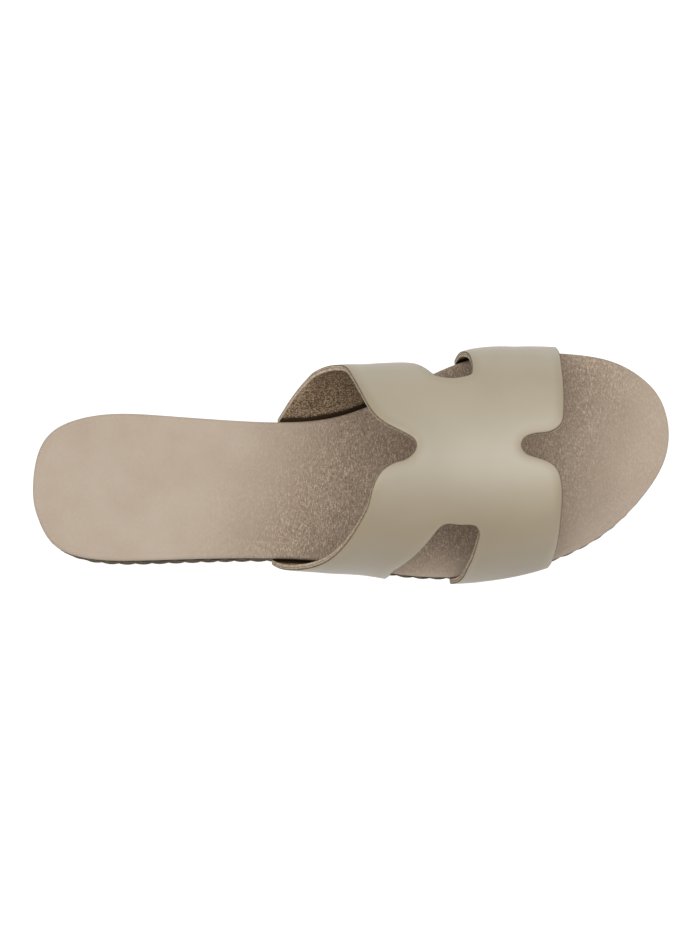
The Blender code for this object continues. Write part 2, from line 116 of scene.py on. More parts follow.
# Height of the footbed: along, share of the step from forefoot to heel, share of TOE_SPRING
FOOTBED = (
    (0.00, 1.000, 0.00), (0.12, 0.985, 0.00), (0.25, 0.900, 0.00), (0.40, 0.620, 0.00), (0.55, 0.260, 0.00),
    (0.66, 0.060, 0.00), (0.74, 0.000, 0.01), (0.85, 0.000, 0.29), (0.93, 0.000, 0.62), (1.00, 0.000, 1.00),
)

# Dish under the heel: along, share of HEEL_CUP
HEEL_DISH = ((0.00, 1.00), (0.26, 0.85), (0.45, 0.00), (1.00, 0.00))

# Underside of the sole above the floor: along, share of TOE_SPRING
GROUND = (
    (0.00, 0.20), (0.04, 0.00), (0.30, 0.00), (0.43, 0.16), (0.56, 0.00), (0.72, 0.00), (0.80, 0.09),
    (0.90, 0.45), (1.00, 1.00),
)


# %% Smooth curves through tables
def smooth(rows, column, at):
    """One column of a table as a smooth curve of its first column, with no overshoot."""
    table = np.array(rows, dtype=float)
    x, y = table[:, 0], table[:, column]
    step = np.diff(x)
    slope = np.diff(y) / step
    tangent = np.zeros(len(x))
    same = slope[:-1] * slope[1:] > 0
    tangent[1:-1][same] = 2.0 * slope[:-1][same] * slope[1:][same] / (slope[:-1][same] + slope[1:][same])
    tangent[0], tangent[-1] = slope[0], slope[-1]
    at = np.clip(np.asarray(at, dtype=float), x[0], x[-1])
    i = np.clip(np.searchsorted(x, at) - 1, 0, len(x) - 2)
    t = (at - x[i]) / step[i]
    start = (2 * t**3 - 3 * t**2 + 1) * y[i] + (t**3 - 2 * t**2 + t) * step[i] * tangent[i]
    return start + (3 * t**2 - 2 * t**3) * y[i + 1] + (t**3 - t**2) * step[i] * tangent[i + 1]


def closed_curve(points, count):
    """A smooth closed curve (uniform cubic B-spline) through every one of the points."""
    points = np.array(points, dtype=float)
    total = len(points)
    system = np.eye(total) * 4 / 6 + (np.roll(np.eye(total), 1, 0) + np.roll(np.eye(total), -1, 0)) / 6
    control = np.linalg.solve(system, points)
    t = np.arange(count) * total / count
    i = t.astype(int)
    f = (t - i)[:, None]
    weights = ((1 - f)**3, 3 * f**3 - 6 * f**2 + 4, -3 * f**3 + 3 * f**2 + 3 * f + 1, f**3)
    return sum(w / 6 * control[(i + k - 1) % total] for k, w in enumerate(weights))


def x_at(along):
    return (np.asarray(along, dtype=float) - 0.5) * SHOE_LENGTH


def along_at(x):
    return np.asarray(x, dtype=float) / SHOE_LENGTH + 0.5


# %% The outline and the two surfaces that the sole lies between
OUTLINE_POINTS = 2400
FINE_OUTLINE = closed_curve(OUTLINE, OUTLINE_POINTS) * (SHOE_LENGTH, BALL_WIDTH) - (SHOE_LENGTH / 2, 0)


def halves(loop):
    """The medial and the lateral half of a closed outline, each from heel to toe."""
    loop = np.roll(loop, -int(np.argmin(loop[:, 0])), axis=0)
    toe = int(np.argmax(loop[:, 0]))
    return loop[:toe + 1], np.vstack([loop[:1], loop[toe:][::-1]])


MEDIAL_HALF, LATERAL_HALF = halves(FINE_OUTLINE)


def insole_edge(x, side):
    """Across position of the insole's edge at x, on the lateral (-1) or medial (1) side."""
    half = MEDIAL_HALF if side > 0 else LATERAL_HALF
    return np.interp(x, half[:, 0], half[:, 1])


def footbed(x):
    along = along_at(x)
    step = (HEEL_HEIGHT - FOREFOOT_HEIGHT) * smooth(FOOTBED, 1, along)
    return FOREFOOT_HEIGHT + step + TOE_SPRING * smooth(FOOTBED, 2, along)


def ground(x):
    return TOE_SPRING * smooth(GROUND, 1, along_at(x))


def inset(points, distance):
    """A closed plan outline moved inwards by a distance, or by one distance for each point."""
    along = np.roll(points, -1, axis=0) - np.roll(points, 1, axis=0)
    along /= np.linalg.norm(along, axis=1)[:, None]
    inwards = np.stack([along[:, 1], -along[:, 0]], axis=1)
    return points + inwards * np.asarray(distance).reshape(-1, 1)


def side_inset(x, height):
    """How far the rope's crests lie inside the insole's edge at a height."""
    return OVERHANG + math.tan(math.radians(SIDE_DRAFT_DEGREES)) * (footbed(x) - INSOLE - height)


# %% [markdown]
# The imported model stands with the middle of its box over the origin, while the tables are laid out round
# the foot's own middle line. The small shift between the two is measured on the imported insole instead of
# being typed in, so that a new pack can't leave the fine pieces behind.

# %% Measure where the packed sandal stands
insole_low, insole_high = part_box("insole")
outline_middle = (FINE_OUTLINE.min(axis=0) + FINE_OUTLINE.max(axis=0)) / 2
STAND_X = (insole_low.x + insole_high.x) / 2 - outline_middle[0]
STAND_Y = (insole_low.y + insole_high.y) / 2 - outline_middle[1]
print("the tables' origin stands at", round(1000 * STAND_X, 3), round(1000 * STAND_Y, 3), "mm")


def mesh_piece(name, points, faces, smooth_angle=None):
    """A new piece from points in the tables' frame, with its faces turned outwards."""
    mesh = bpy.data.meshes.new(name)
    placed = np.array([tuple(point) for point in points], dtype=float) + (STAND_X, STAND_Y, 0.0)
    mesh.from_pydata(placed.tolist(), [], [tuple(map(int, face)) for face in faces])
    form = bmesh.new()
    form.from_mesh(mesh)
    bmesh.ops.recalc_face_normals(form, faces=form.faces)
    form.to_mesh(mesh)
    form.free()
    mesh.shade_smooth()
    if smooth_angle:
        mesh.set_sharp_from_angle(angle=math.radians(smooth_angle))
    piece = bpy.data.objects.new(name, mesh)
    bpy.context.scene.collection.objects.link(piece)
    return piece


def store(piece, name, values):
    """Keeps one number for each point of a piece, for its material to read."""
    piece.data.attributes.new(name, "FLOAT", "POINT").data.foreach_set("value", values)


def triangles(piece):
    return sum(len(face.vertices) - 2 for face in piece.data.polygons)


# %% [markdown]
# The photograph looks down on the sandal, from a little to the outer side, so that a sliver of the rope
# shows below the lateral edge. A long lens keeps the outline free of perspective. The camera is turned to
# the same heading, and its lens is worked out from the scale at which the sandal's length fills the
# picture.

# %% Camera at the photograph's angle
PHOTO_HEIGHT_PX = 933
PIXELS_PER_METRE = 2544
CAMERA_DISTANCE = 1.2
CAMERA_HEADING_DEGREES = 5.3      # how far the toe swings towards the foot of the picture
CAMERA_TILT_DEGREES = 6.0         # how far the camera leans to the lateral side
CAMERA_AIM = Vector((-0.0012, 0.0030, 0.0300))
SENSOR_MM = 36.0


def add_camera():
    heading, tilt = math.radians(CAMERA_HEADING_DEGREES), math.radians(CAMERA_TILT_DEGREES)
    right = Vector((math.cos(heading), -math.sin(heading), 0.0))
    inner = Vector((math.sin(heading), math.cos(heading), 0.0))
    back = Vector((0.0, 0.0, math.cos(tilt))) - inner * math.sin(tilt)
    up = Vector((0.0, 0.0, math.sin(tilt))) + inner * math.cos(tilt)
    lens = bpy.data.cameras.new("photo_camera")
    lens.sensor_width = SENSOR_MM
    lens.lens = PIXELS_PER_METRE * CAMERA_DISTANCE * SENSOR_MM / PHOTO_HEIGHT_PX
    camera = bpy.data.objects.new("photo_camera", lens)
    bpy.context.scene.collection.objects.link(camera)
    turn = Matrix((right, up, back)).transposed().to_4x4()
    camera.matrix_world = Matrix.Translation(CAMERA_AIM + back * CAMERA_DISTANCE) @ turn
    bpy.context.scene.camera = camera
    return camera


camera = add_camera()
print("lens in mm:", round(camera.data.lens, 1))

# %% [markdown]
# Studio light for a catalogue picture is soft, and the background is blown out to white. One long panel
# hangs almost straight above, in line with the shoe. So its light still reaches in under the straps from
# the heel and the toe, while they are brightest on their crown and fall off towards both sides. The
# surround only fills the shadows. The table is lit from below, like a light box, so that no shadow is left
# on it.

# %% Light, surround and table
PANEL_LENGTH = 2.20
PANEL_WIDTH = 0.60
PANEL_PLACE = Vector((0.05, 0.03, 0.85))
PANEL_POWER = 11.3
SURROUND_LIGHT = 0.38
TABLE_WHITE = 0.15
TABLE_GLOW = 1.0
TABLE_SIZE = 40.0


def add_panel(name, place, length, width, power):
    """An oblong panel that faces straight down, its length along the shoe."""
    lamp = bpy.data.lights.new(name, "AREA")
    lamp.shape = "RECTANGLE"
    lamp.size = length
    lamp.size_y = width
    lamp.energy = power
    panel = bpy.data.objects.new(name, lamp)
    bpy.context.scene.collection.objects.link(panel)
    panel.location = place
    return panel


def add_surround():
    world = bpy.data.worlds.new("white_surround")
    world.use_nodes = True
    backdrop = world.node_tree.nodes["Background"]
    backdrop.inputs["Color"].default_value = (1.0, 1.0, 1.0, 1.0)
    backdrop.inputs["Strength"].default_value = SURROUND_LIGHT
    bpy.context.scene.world = world


def add_table():
    half = TABLE_SIZE / 2
    mesh = bpy.data.meshes.new("light_table")
    corners = [(-half, -half, 0), (half, -half, 0), (half, half, 0), (-half, half, 0)]
    mesh.from_pydata(corners, [], [(0, 1, 2, 3)])
    table = bpy.data.objects.new("light_table", mesh)
    bpy.context.scene.collection.objects.link(table)
    finish = bpy.data.materials.new("lit_acrylic")
    finish.use_nodes = True
    shader = finish.node_tree.nodes["Principled BSDF"]
    shader.inputs["Base Color"].default_value = (TABLE_WHITE, TABLE_WHITE, TABLE_WHITE, 1.0)
    shader.inputs["Roughness"].default_value = 0.9
    shader.inputs["Specular IOR Level"].default_value = 0.0
    shader.inputs["Emission Color"].default_value = (1.0, 1.0, 1.0, 1.0)
    shader.inputs["Emission Strength"].default_value = TABLE_GLOW
    mesh.materials.append(finish)
    table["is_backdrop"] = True


add_panel("overhead_panel", PANEL_PLACE, PANEL_LENGTH, PANEL_WIDTH, PANEL_POWER)
add_surround()
add_table()
bpy.context.scene.view_settings.view_transform = "Standard"
bpy.context.scene.cycles.use_denoising = True
print("lights:", [lamp.name for lamp in bpy.data.lights])

# %% [markdown]
# A material is a small network of nodes. Each finish below is made from the same three or four ingredients:
# noise for the mottle that the eye sees from a step away, finer noise for the grain, a ramp that turns
# either into colour, and a bump that lets the grain catch the light. The helper keeps each network short to
# read.

# %% A helper for material networks
def new_finish(name, roughness):
    """A material, its tree and its Principled shader, whose constants are set on the shader's own sockets."""
    finish = bpy.data.materials.new(name)
    finish.use_nodes = True
    shader = finish.node_tree.nodes["Principled BSDF"]
    shader.inputs["Roughness"].default_value = roughness
    return finish, finish.node_tree, shader


def add_node(tree, kind, settings=None, **sockets):
    """A node with its settings, and its sockets set by name to a value or linked to another's output."""
    made = tree.nodes.new(kind)
    for key, value in (settings or {}).items():
        setattr(made, key, value)
    for key, value in sockets.items():
        socket = made.inputs[int(key[1:])] if key[0] == "_" else made.inputs[key.replace("_", " ")]
        if isinstance(value, bpy.types.NodeSocket):
            tree.links.new(value, socket)
        else:
            socket.default_value = value
    return made


def place_on_piece(tree):
    return add_node(tree, "ShaderNodeTexCoord").outputs["Object"]


def stored(tree, name):
    """What the points of a piece were given to keep under this name."""
    return add_node(tree, "ShaderNodeAttribute", {"attribute_name": name}).outputs["Fac"]


def fade(tree, value, reach, amounts, kind="SMOOTHSTEP"):
    """A value that goes from one amount to the other while another goes through its reach."""
    made = add_node(tree, "ShaderNodeMapRange", {"interpolation_type": kind}, Value=value, _1=reach[0],
                    _2=reach[1], _3=amounts[0], _4=amounts[1])
    return made.outputs["Result"]


def noise(tree, where, scale, detail=3.0, roughness=0.55):
    made = add_node(tree, "ShaderNodeTexNoise", Vector=where, Scale=scale, Detail=detail, Roughness=roughness)
    return made.outputs["Fac"]


def ramp(tree, factor, stops):
    """A colour ramp: (position, colour) stops."""
    made = add_node(tree, "ShaderNodeValToRGB", Fac=factor)
    elements = made.color_ramp.elements
    while len(elements) < len(stops):
        elements.new(0.5)
    for element, (position, colour) in zip(elements, stops):
        element.position = position
        element.color = (*colour, 1.0)
    return made.outputs["Color"]


def math_node(tree, operation, first, second=0.0, third=0.0):
    made = add_node(tree, "ShaderNodeMath", {"operation": operation}, _0=first, _1=second, _2=third)
    return made.outputs[0]


def mix_colour(tree, blend, factor, first, second):
    made = add_node(tree, "ShaderNodeMix", {"data_type": "RGBA", "blend_type": blend})
    for name, value in (("Factor", factor), ("A", first), ("B", second)):
        socket = next(s for s in made.inputs if s.name == name and (name == "Factor" or s.type == "RGBA")
                      and s.enabled)
        if isinstance(value, bpy.types.NodeSocket):
            tree.links.new(value, socket)
        else:
            socket.default_value = value if name == "Factor" else (*value, 1.0)
    return next(s for s in made.outputs if s.type == "RGBA")


def bump(tree, shader, layers):
    """Bumps stacked on the shader's normal: (height, strength, distance) layers."""
    normal = None
    for height, strength, distance in layers:
        made = add_node(tree, "ShaderNodeBump", Height=height, Strength=strength, Distance=distance)
        if normal:
            tree.links.new(normal, made.inputs["Normal"])
        normal = made.outputs["Normal"]
    tree.links.new(normal, shader.inputs["Normal"])


def stretched(tree, where, scale, turn=(0.0, 0.0, 0.0)):
    """Coordinates turned and stretched, so that a round noise becomes a brushed one."""
    made = add_node(tree, "ShaderNodeMapping", Vector=where, Scale=scale, Rotation=turn)
    return made.outputs["Vector"]


# %% [markdown]
# The insole's cover is a faux suede: a short nap that stands up in some places and lies flat in others.
# That reads as soft cloudy patches with a fine salt-and-pepper grain over them. The nap scatters light at
# grazing angles, which the sheen gives. The heel, where the cover is stretched over the dish, is paler and
# smoother, so the grain is faded there along the length of the shoe. From the waist to the toe the colour is
# darkened: partly the nap's worn, deeper tone, and partly painted shade from the straps above.

# %% Suede finish of the insole
SUEDE_PALE = (0.442, 0.363, 0.289)
SUEDE_MID = (0.403, 0.324, 0.253)
SUEDE_RIM_SHADE = (0.030, 0.021, 0.014)    # painted shade under the rim, where the cover is tucked in
# waist and toe tints: partly the nap's worn tone, partly painted shade under the straps
WAIST_TINT = (0.81, 0.77, 0.73)
TOE_TINT = (0.96, 0.95, 0.94)
UNTINTED = (1.0, 1.0, 1.0)
NAP_AND_SHADE_SLANT = 0.60                      # the darker field of nap and painted shade lies askew: further back on the lateral side
NAP_TURN = -0.12
LATERAL_MARGIN = (-0.045, -0.027)     # from here inwards the grain and the tint come in
RIM_SHADE_DROP = (0.0011, 0.0019)          # depth under the rim where the shade starts and where it is full
SUEDE_SPECK = (
    (0.39, (0.58, 0.55, 0.52)), (0.48, (0.91, 0.91, 0.91)), (0.53, UNTINTED), (0.61, (1.72, 1.75, 1.80)),
)
# Shares of the length, from heel to toe, at which the tint and the grain grow and fade; the tint is partly
# the nap's worn tone and partly painted shade under the straps
TINT_ALONG = ((0.28, UNTINTED), (0.44, WAIST_TINT), (0.80, WAIST_TINT), (0.95, TOE_TINT))
GRAIN_ALONG = (
    (0.26, 0.05), (0.37, 0.22), (0.46, 0.90), (0.60, 1.00), (0.83, 0.70), (0.91, 0.20), (1.00, 0.18),
)


def suede_finish():
    finish, tree, shader = new_finish("insole_suede", 0.95)
    where = place_on_piece(tree)
    place = add_node(tree, "ShaderNodeSeparateXYZ", Vector=where)
    slanted = math_node(tree, "MULTIPLY_ADD", place.outputs["Y"], -NAP_AND_SHADE_SLANT, place.outputs["X"])
    share = fade(tree, slanted, (-SHOE_LENGTH / 2, SHOE_LENGTH / 2), (0.0, 1.0), "LINEAR")
    inner = fade(tree, place.outputs["Y"], LATERAL_MARGIN, (0.15, 1.0))
    clouds = noise(tree, where, 55.0, 4.0)
    brushed = noise(tree, stretched(tree, where, (3.0, 1.0, 1.0), (0.0, 0.0, NAP_TURN)), 680.0, 3.0)
    grain = noise(tree, where, 2100.0, 2.0, 0.7)
    base = ramp(tree, clouds, ((0.30, SUEDE_MID), (0.72, SUEDE_PALE)))
    # the tint along the shoe: partly the nap's worn tone, partly painted shade from the straps above
    wear_and_shade = mix_colour(tree, "MIX", inner, UNTINTED, ramp(tree, share, TINT_ALONG))
    nap = math_node(tree, "MULTIPLY", math_node(tree, "ADD", brushed, grain), 0.5)
    speck = ramp(tree, nap, SUEDE_SPECK)
    grain_share = ramp(tree, share, [(at, (amount,) * 3) for at, amount in GRAIN_ALONG])
    rough = math_node(tree, "MULTIPLY", grain_share, inner)
    colour = mix_colour(tree, "MULTIPLY", rough, mix_colour(tree, "MULTIPLY", 1.0, base, wear_and_shade), speck)
    # painted shade down the insole's side, below the rim
    rim_shade = fade(tree, stored(tree, "rim_drop"), RIM_SHADE_DROP, (0.0, 1.0), "LINEAR")
    tree.links.new(mix_colour(tree, "MIX", rim_shade, colour, SUEDE_RIM_SHADE), shader.inputs["Base Color"])
    shader.inputs["Specular IOR Level"].default_value = 0.08
    shader.inputs["Sheen Weight"].default_value = 0.08
    shader.inputs["Sheen Roughness"].default_value = 0.45
    shader.inputs["Sheen Tint"].default_value = (1.0, 0.90, 0.78, 1.0)
    bump(tree, shader, ((clouds, 0.35, 0.0006), (nap, 0.6, 0.00022)))
    return finish


# %% [markdown]
# The strap is a coated sheet with a satin gloss. In the photograph it is palest over the crown, and deeper
# and yellower down both sides. How much of that is the sheet's own colour and how much is shading can't be
# told from one picture, and here part of it is put into the colour: each point keeps its share across, and
# a ramp over that share follows the sheet wherever it bends. Under another light the sides still look a
# little deep.

# %% Smooth finish of the strap
# From the lateral side, over the crown, to the medial side: partly the sheet's own tone, partly painted shade
# darkening both sides
STRAP_ACROSS = ((0.04, (0.272, 0.220, 0.141)), (0.30, (0.342, 0.283, 0.197)), (0.50, (0.400, 0.358, 0.280)),
                (0.72, (0.366, 0.315, 0.228)), (0.98, (0.345, 0.292, 0.202)))
STRAP_REAR_SHADE = (0.880, 0.870, 0.855)    # painted shade: the rear lateral arm is darkened, as it looks darker in the photograph
STRAP_EDGE = (0.300, 0.246, 0.164)
CUT_LINE = (0.145, 0.108, 0.068)      # a dark line along the corner between the strap's face and its cut edge
STRAP_MOTTLE = ((0.32, (0.96, 0.955, 0.95)), (0.68, (1.03, 1.03, 1.03)))
REAR_SLANT = 1.3                      # the painted shade's border runs askew over the strap
REAR_REACH = (0.005, 0.062)
EDGE_REACH = (0.0, 0.0045)            # distance from the cut edge over which its tone fades
LINE_REACH = (0.00005, 0.0004)        # the same for the dark line


def strap_finish():
    finish, tree, shader = new_finish("strap_smooth", 0.46)
    where = place_on_piece(tree)
    clouds = noise(tree, where, 26.0, 3.0)
    pores = noise(tree, where, 2600.0, 2.0, 0.6)
    place = add_node(tree, "ShaderNodeSeparateXYZ", Vector=where)
    forward = math_node(tree, "MULTIPLY_ADD", place.outputs["Y"], REAR_SLANT, place.outputs["X"])
    rear = fade(tree, forward, REAR_REACH, (1.0, 0.0))
    # palest on the crown, with painted shade down both sides
    base = ramp(tree, stored(tree, "across"), STRAP_ACROSS)
    base = mix_colour(tree, "MULTIPLY", 1.0, base, ramp(tree, clouds, STRAP_MOTTLE))
    # painted shade over the rear lateral arm
    base = mix_colour(tree, "MULTIPLY", rear, base, STRAP_REAR_SHADE)
    edge = stored(tree, "edge_distance")
    tinted = mix_colour(tree, "MIX", fade(tree, edge, EDGE_REACH, (0.75, 0.0)), base, STRAP_EDGE)
    line = fade(tree, edge, LINE_REACH, (0.6, 0.0), "LINEAR")
    tree.links.new(mix_colour(tree, "MIX", line, tinted, CUT_LINE), shader.inputs["Base Color"])
    tree.links.new(fade(tree, clouds, (0.3, 0.7), (0.42, 0.50), "LINEAR"), shader.inputs["Roughness"])
    shader.inputs["Specular IOR Level"].default_value = 0.55
    shader.inputs["Specular Tint"].default_value = (1.0, 0.96, 0.88, 1.0)
    shader.inputs["Coat Weight"].default_value = 0.22
    shader.inputs["Coat Roughness"].default_value = 0.33
    bump(tree, shader, ((clouds, 0.10, 0.0008), (pores, 0.10, 0.00006)))
    return finish


# %% [markdown]
# The lining is a rough fabric, speckled brown and beige. Strong fine noise through three colours gives that
# grain. The narrow dark line where it meets the insole is shade. It is drawn into the colour, because the
# soft light here doesn't make it dark enough. The same is done under the insole's rim and on the rope below
# it. The cut edge shows the layers of the wall, so its colours run through the wall's depth.

# %% Grainy finish of the strap's lining, and of its cut edge
LINING_PALE = (0.540, 0.405, 0.278)
LINING_MID = (0.262, 0.184, 0.115)
LINING_DARK = (0.095, 0.061, 0.034)
LINING_SHADE = (0.045, 0.027, 0.014)  # down where the lining meets the insole
CUT_LINING = (0.430, 0.340, 0.262)
CUT_SEAM = (0.150, 0.112, 0.074)
CUT_TOP = (0.370, 0.306, 0.222)
GRAIN_SHARE = 0.85                    # the rest of the lining's tone comes from wide clouds
SHADE_UNEVENNESS = 2.2
SHADE_REACH = (1.2, 2.1)
# Colours through the wall, from the lining to the strap's face
CUT_LAYERS = ((0.0, CUT_LINING), (0.42, CUT_LINING), (0.50, CUT_SEAM), (0.58, CUT_TOP), (0.76, CUT_TOP),
              (0.88, CUT_LINE), (1.0, CUT_LINE))
CUT_SPECK = ((0.40, (0.72, 0.70, 0.68)), (0.50, (1.0, 1.0, 1.0)), (0.62, (1.35, 1.35, 1.35)))


def lining_finish():
    finish, tree, shader = new_finish("strap_lining", 0.95)
    where = place_on_piece(tree)
    grain = noise(tree, where, 1500.0, 3.0, 0.75)
    clouds = noise(tree, where, 60.0, 3.0)
    cloud_share = math_node(tree, "MULTIPLY", clouds, 1 - GRAIN_SHARE)
    mixed = math_node(tree, "MULTIPLY_ADD", grain, GRAIN_SHARE, cloud_share)
    colour = ramp(tree, mixed, ((0.42, LINING_DARK), (0.51, LINING_MID), (0.61, LINING_PALE)))
    uneven = math_node(tree, "MULTIPLY_ADD", grain, SHADE_UNEVENNESS, stored(tree, "out_of_shade"))
    shade = fade(tree, uneven, SHADE_REACH, (1.0, 0.0))
    tree.links.new(mix_colour(tree, "MIX", shade, colour, LINING_SHADE), shader.inputs["Base Color"])
    shader.inputs["Specular IOR Level"].default_value = 0.05
    bump(tree, shader, ((grain, 0.7, 0.0003),))
    return finish


def cut_edge_finish():
    finish, tree, shader = new_finish("strap_cut_edge", 0.85)
    where = place_on_piece(tree)
    grain = noise(tree, where, 1100.0, 3.0, 0.7)
    layers = ramp(tree, stored(tree, "wall_depth"), CUT_LAYERS)
    colour = mix_colour(tree, "MULTIPLY", 0.9, layers, ramp(tree, grain, CUT_SPECK))
    tree.links.new(colour, shader.inputs["Base Color"])
    shader.inputs["Specular IOR Level"].default_value = 0.12
    bump(tree, shader, ((grain, 0.5, 0.00012),))
    return finish


# %% [markdown]
# Jute has fibres along its yarns, and yarns that turn within each strand. A plain noise would ignore both.
# The rope keeps for each point where it lies along its strand and round it, and this finish reads that, so
# that the fibres follow every bend. Rubber and foam need less: one is dull and a little scuffed, the other
# has small cells.

# %% Rope, rubber and foam finishes
JUTE_PALE = (0.205, 0.160, 0.112)
JUTE_DARK = (0.062, 0.045, 0.030)
JUTE_SHADE = (0.022, 0.015, 0.010)   # close under the insole
RUBBER = (0.055, 0.038, 0.027)
FOAM_PALE = (0.300, 0.215, 0.140)
FOAM_DARK = (0.200, 0.140, 0.090)
YARNS = 4.0                           # yarns that show round one strand of the rope
JUTE_SHADE_REACH = (0.0004, 0.0032)   # how far below the insole the shade on the rope goes
RUBBER_DUSTY = 1.7                    # how much paler the rubber is where it is scuffed


def jute_finish():
    """Fibres that follow each strand: the attribute holds the run along it and the turned ring round it."""
    finish, tree, shader = new_finish("jute_rope", 0.9)
    where = place_on_piece(tree)
    lay = add_node(tree, "ShaderNodeAttribute", {"attribute_name": "lay"}).outputs["Vector"]
    split = add_node(tree, "ShaderNodeSeparateXYZ", Vector=lay)
    angle = math_node(tree, "ARCTAN2", split.outputs["Z"], split.outputs["Y"])
    yarn = math_node(tree, "ABSOLUTE", math_node(tree, "SINE", math_node(tree, "MULTIPLY", angle, YARNS / 2)))
    fibres = noise(tree, stretched(tree, lay, (520.0, 5.0, 5.0)), 1.0, 4.0, 0.7)
    patches = noise(tree, where, 140.0, 3.0)
    mixed = math_node(tree, "MULTIPLY_ADD", fibres, 0.6, math_node(tree, "MULTIPLY", patches, 0.4))
    colour = ramp(tree, mixed, ((0.34, JUTE_DARK), (0.66, JUTE_PALE)))
    # painted shade in the grooves between the yarns
    groove = ramp(tree, yarn, ((0.0, (0.45, 0.42, 0.40)), (0.35, (1.0, 1.0, 1.0))))
    shade = fade(tree, stored(tree, "below_insole"), JUTE_SHADE_REACH, (1.0, 0.0))
    twisted = mix_colour(tree, "MULTIPLY", 0.9, colour, groove)
    tree.links.new(mix_colour(tree, "MIX", shade, twisted, JUTE_SHADE), shader.inputs["Base Color"])
    shader.inputs["Specular IOR Level"].default_value = 0.12
    bump(tree, shader, ((yarn, 0.6, 0.0003), (fibres, 0.6, 0.00022)))
    return finish


def rubber_finish():
    finish, tree, shader = new_finish("outsole_rubber", 0.68)
    where = place_on_piece(tree)
    scuff = noise(tree, where, 180.0, 4.0)
    grain = noise(tree, where, 2200.0, 2.0)
    dust = ramp(tree, scuff, ((0.35, RUBBER), (0.75, tuple(RUBBER_DUSTY * part for part in RUBBER))))
    tree.links.new(dust, shader.inputs["Base Color"])
    tree.links.new(fade(tree, scuff, (0.3, 0.7), (0.58, 0.80), "LINEAR"), shader.inputs["Roughness"])
    bump(tree, shader, ((grain, 0.25, 0.00012),))
    return finish


def foam_finish():
    finish, tree, shader = new_finish("wedge_foam", 0.9)
    where = place_on_piece(tree)
    cells = add_node(tree, "ShaderNodeTexVoronoi", Vector=where, Scale=900.0).outputs["Distance"]
    colour = ramp(tree, cells, ((0.1, FOAM_DARK), (0.6, FOAM_PALE)))
    tree.links.new(colour, shader.inputs["Base Color"])
    bump(tree, shader, ((cells, 0.3, 0.0002),))
    return finish


FINISH = {
    "suede": suede_finish(),
    "strap": strap_finish(),
    "lining": lining_finish(),
    "cut_edge": cut_edge_finish(),
    "jute": jute_finish(),
    "rubber": rubber_finish(),
    "foam": foam_finish(),
}
print("finishes:", ", ".join(FINISH))

# %% [markdown]
# The insole is a board with a thin layer of foam, and its cover is rolled round the rim. It could be an
# extruded outline with a bevel, but its top follows the footbed and is dished under the heel. So it is
# built as a ladder: pairs of points face each other across the shoe, rings of them step down round the rim,
# and rows of quads fill the top and the bottom.

# %% Ladder solids
RUNGS = 170
ROWS_ACROSS = 22


def ladder_stations(extra=()):
    """Places along the shoe, closer at heel and toe, where the rungs of the ladder lie."""
    low, high = MEDIAL_HALF[0, 0], MEDIAL_HALF[-1, 0]
    x = low + (high - low) * (1 - np.cos(np.pi * np.arange(RUNGS + 1) / RUNGS)) / 2
    return np.unique(np.concatenate([x, np.asarray(extra, dtype=float)]))


def ladder_rim(x, loop=FINE_OUTLINE):
    """A closed outline as medial points from heel to toe, then lateral points back, in facing pairs."""
    near, far = halves(loop)
    back = x[1:-1][::-1]
    medial = np.stack([x, np.interp(x, near[:, 0], near[:, 1])], axis=1)
    lateral = np.stack([back, np.interp(back, far[:, 0], far[:, 1])], axis=1)
    return np.vstack([medial, lateral])


def cap(points, faces, first, count, height, flip):
    """Fills a ladder ring with rows of quads, whose inner points are laid at the height of their place."""
    rungs = count // 2
    shares = np.arange(1, ROWS_ACROSS) / ROWS_ACROSS
    lines = []
    for i in range(1, rungs):
        near, far = first + i, first + count - i
        start, end = np.array(points[near][:2]), np.array(points[far][:2])
        inner = list(range(len(points), len(points) + len(shares)))
        for share in shares:
            spot = start + (end - start) * share
            points.append((spot[0], spot[1], height(spot[0], spot[1])))
        lines.append([near] + inner + [far])
    fill = [(a[k], b[k], b[k + 1], a[k + 1])
            for a, b in zip(lines[:-1], lines[1:]) for k in range(ROWS_ACROSS)]
    fill += [(first, lines[0][k], lines[0][k + 1]) for k in range(ROWS_ACROSS)]
    fill += [(first + rungs, lines[-1][k + 1], lines[-1][k]) for k in range(ROWS_ACROSS)]
    faces += [tuple(reversed(face)) for face in fill] if flip else fill


def ladder_solid(name, rings, top_height, bottom_height, smooth_angle=None):
    """A closed piece from rings of one ladder outline, given from its top ring down to its bottom ring."""
    count = len(rings[0])
    points = [tuple(point) for ring in rings for point in ring]
    faces = []
    for k in range(len(rings) - 1):
        first, second = k * count, (k + 1) * count
        for i in range(count):
            after = (i + 1) % count
            faces.append((first + i, first + after, second + after, second + i))
    cap(points, faces, 0, count, top_height, False)
    cap(points, faces, (len(rings) - 1) * count, count, bottom_height, True)
    return mesh_piece(name, points, faces, smooth_angle)


def surface_ring(plan, surface, lift):
    """A plan outline laid on the footbed's or the ground's curve, and lifted by a distance."""
    return np.column_stack([plan, surface(plan[:, 0]) + lift])


# %% The insole
ROLL_LINE = 0.0026                # how far in from the rim the turned cover's edge shows as a faint line
ROLL_DEPTH = 0.00010
ROLL_WIDTH = 0.0007
RIM_STEPS = 6


def dish_depth(x, from_edge):
    """Depth of the dish under the heel at a place, from how far it lies inside the insole's edge."""
    floor = HEEL_CUP * smooth(HEEL_DISH, 1, along_at(x))
    t = np.clip((from_edge - EDGE_ROUND) / (DISH_FLOOR - EDGE_ROUND), 0.0, 1.0)
    return floor * t * t * (3 - 2 * t)


def insole_top(x, y):
    from_edge = np.sqrt(((FINE_OUTLINE[::8] - (x, y))**2).sum(axis=1).min())
    return float(footbed(x)) - float(dish_depth(x, from_edge))


